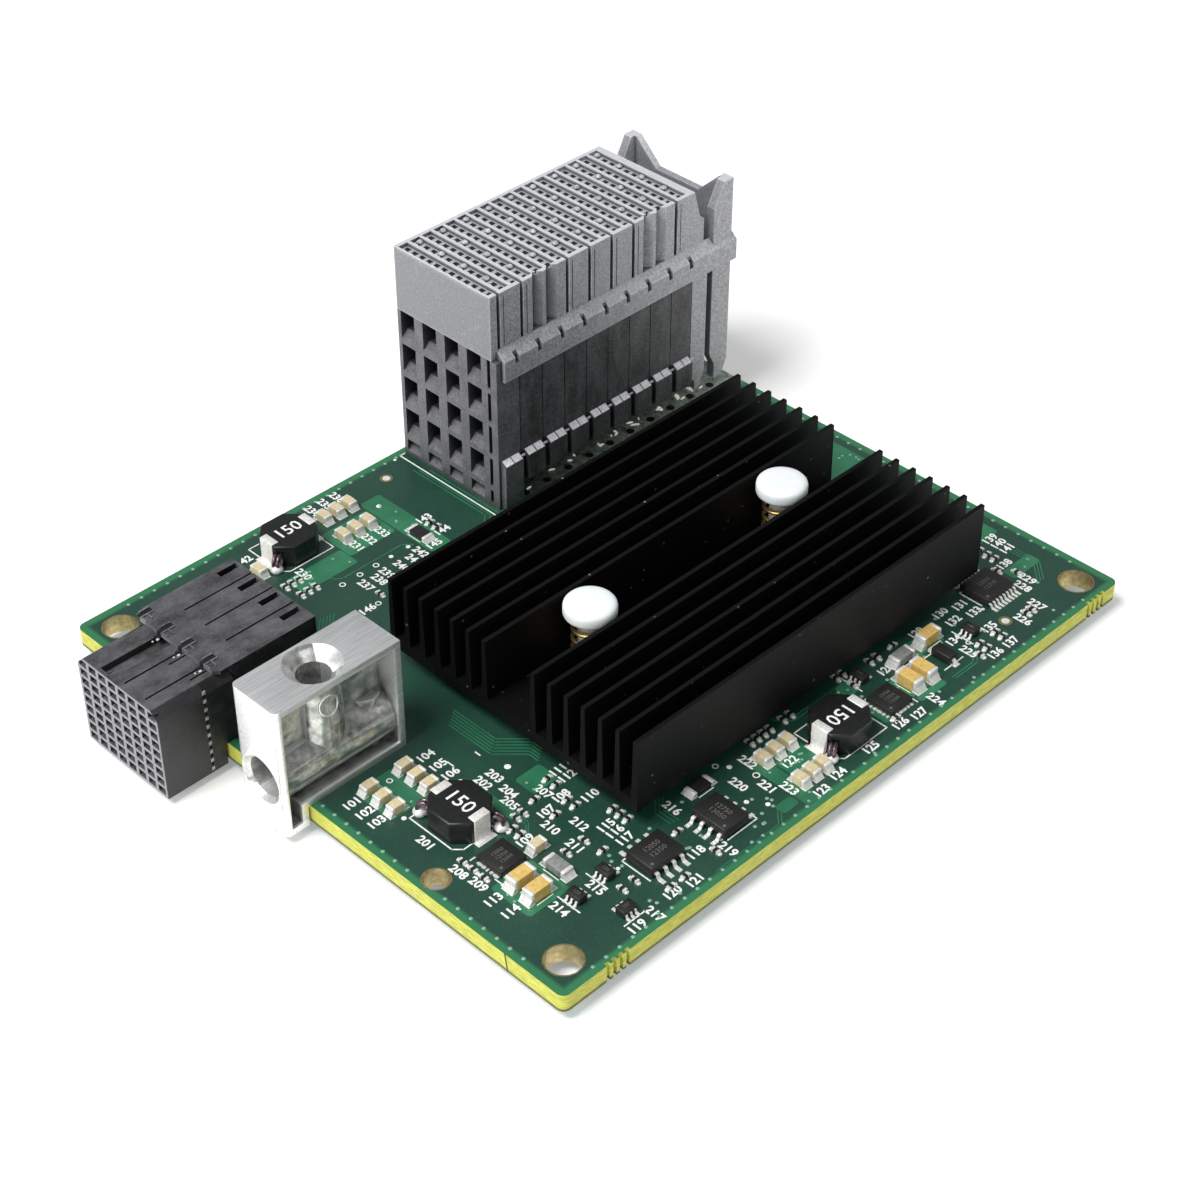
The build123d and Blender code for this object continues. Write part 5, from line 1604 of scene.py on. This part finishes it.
# %% Dashes round the leadless chips
dashes = bmesh.new()
dash_pitch = 0.62
half_wide, half_long = 0.14 * mm, 0.38 * mm
for low_corner, high_corner in solids_of("flat_chips"):
    for axis in (0, 1):
        span = (high_corner[axis] - low_corner[axis]) / mm
        count = int((span - 0.7) / dash_pitch)
        for step in range(count + 1):
            along_side = (low_corner[axis] + high_corner[axis]) / 2 + (step - count / 2) * dash_pitch * mm
            for edge_place in (low_corner[1 - axis], high_corner[1 - axis]):
                low_dash = Vector((0, 0, board_top))
                high_dash = Vector((0, 0, board_top + 0.12 * mm))
                low_dash[axis], high_dash[axis] = along_side - half_wide, along_side + half_wide
                low_dash[1 - axis], high_dash[1 - axis] = edge_place - half_long, edge_place + half_long
                block(dashes, low_dash, high_dash)
piece(dashes, "chip_dashes", solder, "tinned")

# %% [markdown]
# Two round targets help the machine that places the parts to find the board. Each is a bare
# metal dot in a ring that has no mask. Rings and dots are thin discs, the dot a hair higher.

# %% Placing targets
clear_ring = mottled("clear_ring", tone(96, 92, 58), tone(120, 116, 76), 0.3, 0.5, 0.005)
dots = bmesh.new()
halos = bmesh.new()
for x, y in targets:
    disc(halos, on_board(x, y, 0.045), 0.85, 0.02, 24)
    disc(dots, on_board(x, y, 0.06), 0.5, 0.02, 24)
piece(halos, "target_rings", clear_ring, "mask")
piece(dots, "target_dots", tin, "tinned")

# %% [markdown]
# Where the low connector's cover laps over its front half, it is slit into small clips. Low
# rails run along both sides of each slit, and the slit itself is filled with a black block, a
# painted shade. In front of it lie a short black bar, a painted shadow, and two bright contact
# tips, except where the cover is wider than the front half. Every one is a block, given by its
# reach along and across from the slit's mouth and by two heights.

# %% Clips of the low connector
clip_grey = moulded("clip_grey", tone(84, 84, 87), tone(122, 122, 126), 0.5, 0.32, corners=0.4)
slit_painted_shade = mottled("slit_painted_shade", tone(7, 7, 8), tone(16, 16, 17), 0.2, 0.5, 0.005)
clips = bmesh.new()
slit_shade_blocks = bmesh.new()
tips = bmesh.new()
lip_start = -0.25
roof_level = 9.6
cover_level = 10.1
front_roof_edge = 66.0
sunk = 0.02
for slit in (56.725, 60.575, 64.425, 68.275):
    parts = [
        # A black block in the slit: a painted shade.
        (slit_shade_blocks, 0.02, 1.93, -0.34, 0.34, roof_level, cover_level - 0.01),
        (clips, 0.02, 1.9, -0.57, -0.37, cover_level, cover_level + 0.14),
        (clips, 0.52, 1.9, 0.37, 0.57, cover_level, cover_level + 0.14),
        (clips, 0.02, 0.2, -1.5, -0.6, cover_level, cover_level + 0.12),
        (clips, 0.9, 1.06, -1.45, -0.57, cover_level, cover_level + 0.12),
    ]
    if slit < front_roof_edge:
        parts += [
            # A short black bar in front of the slit: a painted shadow.
            (slit_shade_blocks, -0.6, 0.01, -0.5, 0.25, roof_level, roof_level + 0.05),
            (tips, -0.75, -0.45, -0.66, -0.4, roof_level, roof_level + 0.12),
            (tips, -1.3, -1.12, -0.5, -0.32, roof_level, roof_level + 0.08),
        ]
    for mesh, x0, x1, y0, y1, foot, top in parts:
        slab(mesh, (lip_start + x0, slit + y0, foot - sunk), (lip_start + x1, slit + y1, top))
piece(clips, "cover_clips", clip_grey, "dark_plastic")
piece(slit_shade_blocks, "cover_slits", slit_painted_shade, "dark_plastic")
piece(tips, "contact_tips", tin, "tinned")

# %% [markdown]
# Down the seam of the low connector's flank runs a dashed line of pale teeth. They are thin
# blocks at an even pitch, the lowest of them under the board's top face.

# %% Seam teeth
tooth_pitch = 1.245
teeth = bmesh.new()
for step in range(10):
    height = -2.85 + (step + 0.5) * tooth_pitch
    slab(teeth, (-2.6, 53.69, height - 0.24), (-2.2, 53.76, height + 0.24))
pale_grey = moulded("pale_grey", tone(150, 150, 152), tone(186, 186, 188), 0.3, 0.45, corners=0.2)
piece(teeth, "seam_teeth", pale_grey, "dark_plastic")

# %% [markdown]
# A last small mark: the router that freed the board from its panel left a dark slanted line
# on the sawn edge near the front corner. It is one thin leaning bar, a hair off the edge.

# %% Mark on the edge
burnt = mottled("burnt_line", tone(44, 46, 30), tone(74, 74, 48), 0.3, 0.6, 0.005)
mark = bmesh.new()
for vert in slab(mark, (-0.02, 8.05, -board_thick), (0.01, 8.25, 0.0)):
    if vert.co.z > board_top - 1e-6:
        vert.co.y += 0.4 * mm
piece(mark, "edge_mark", burnt, "mask")
print("details of the connectors, the guide and the board's edge made")
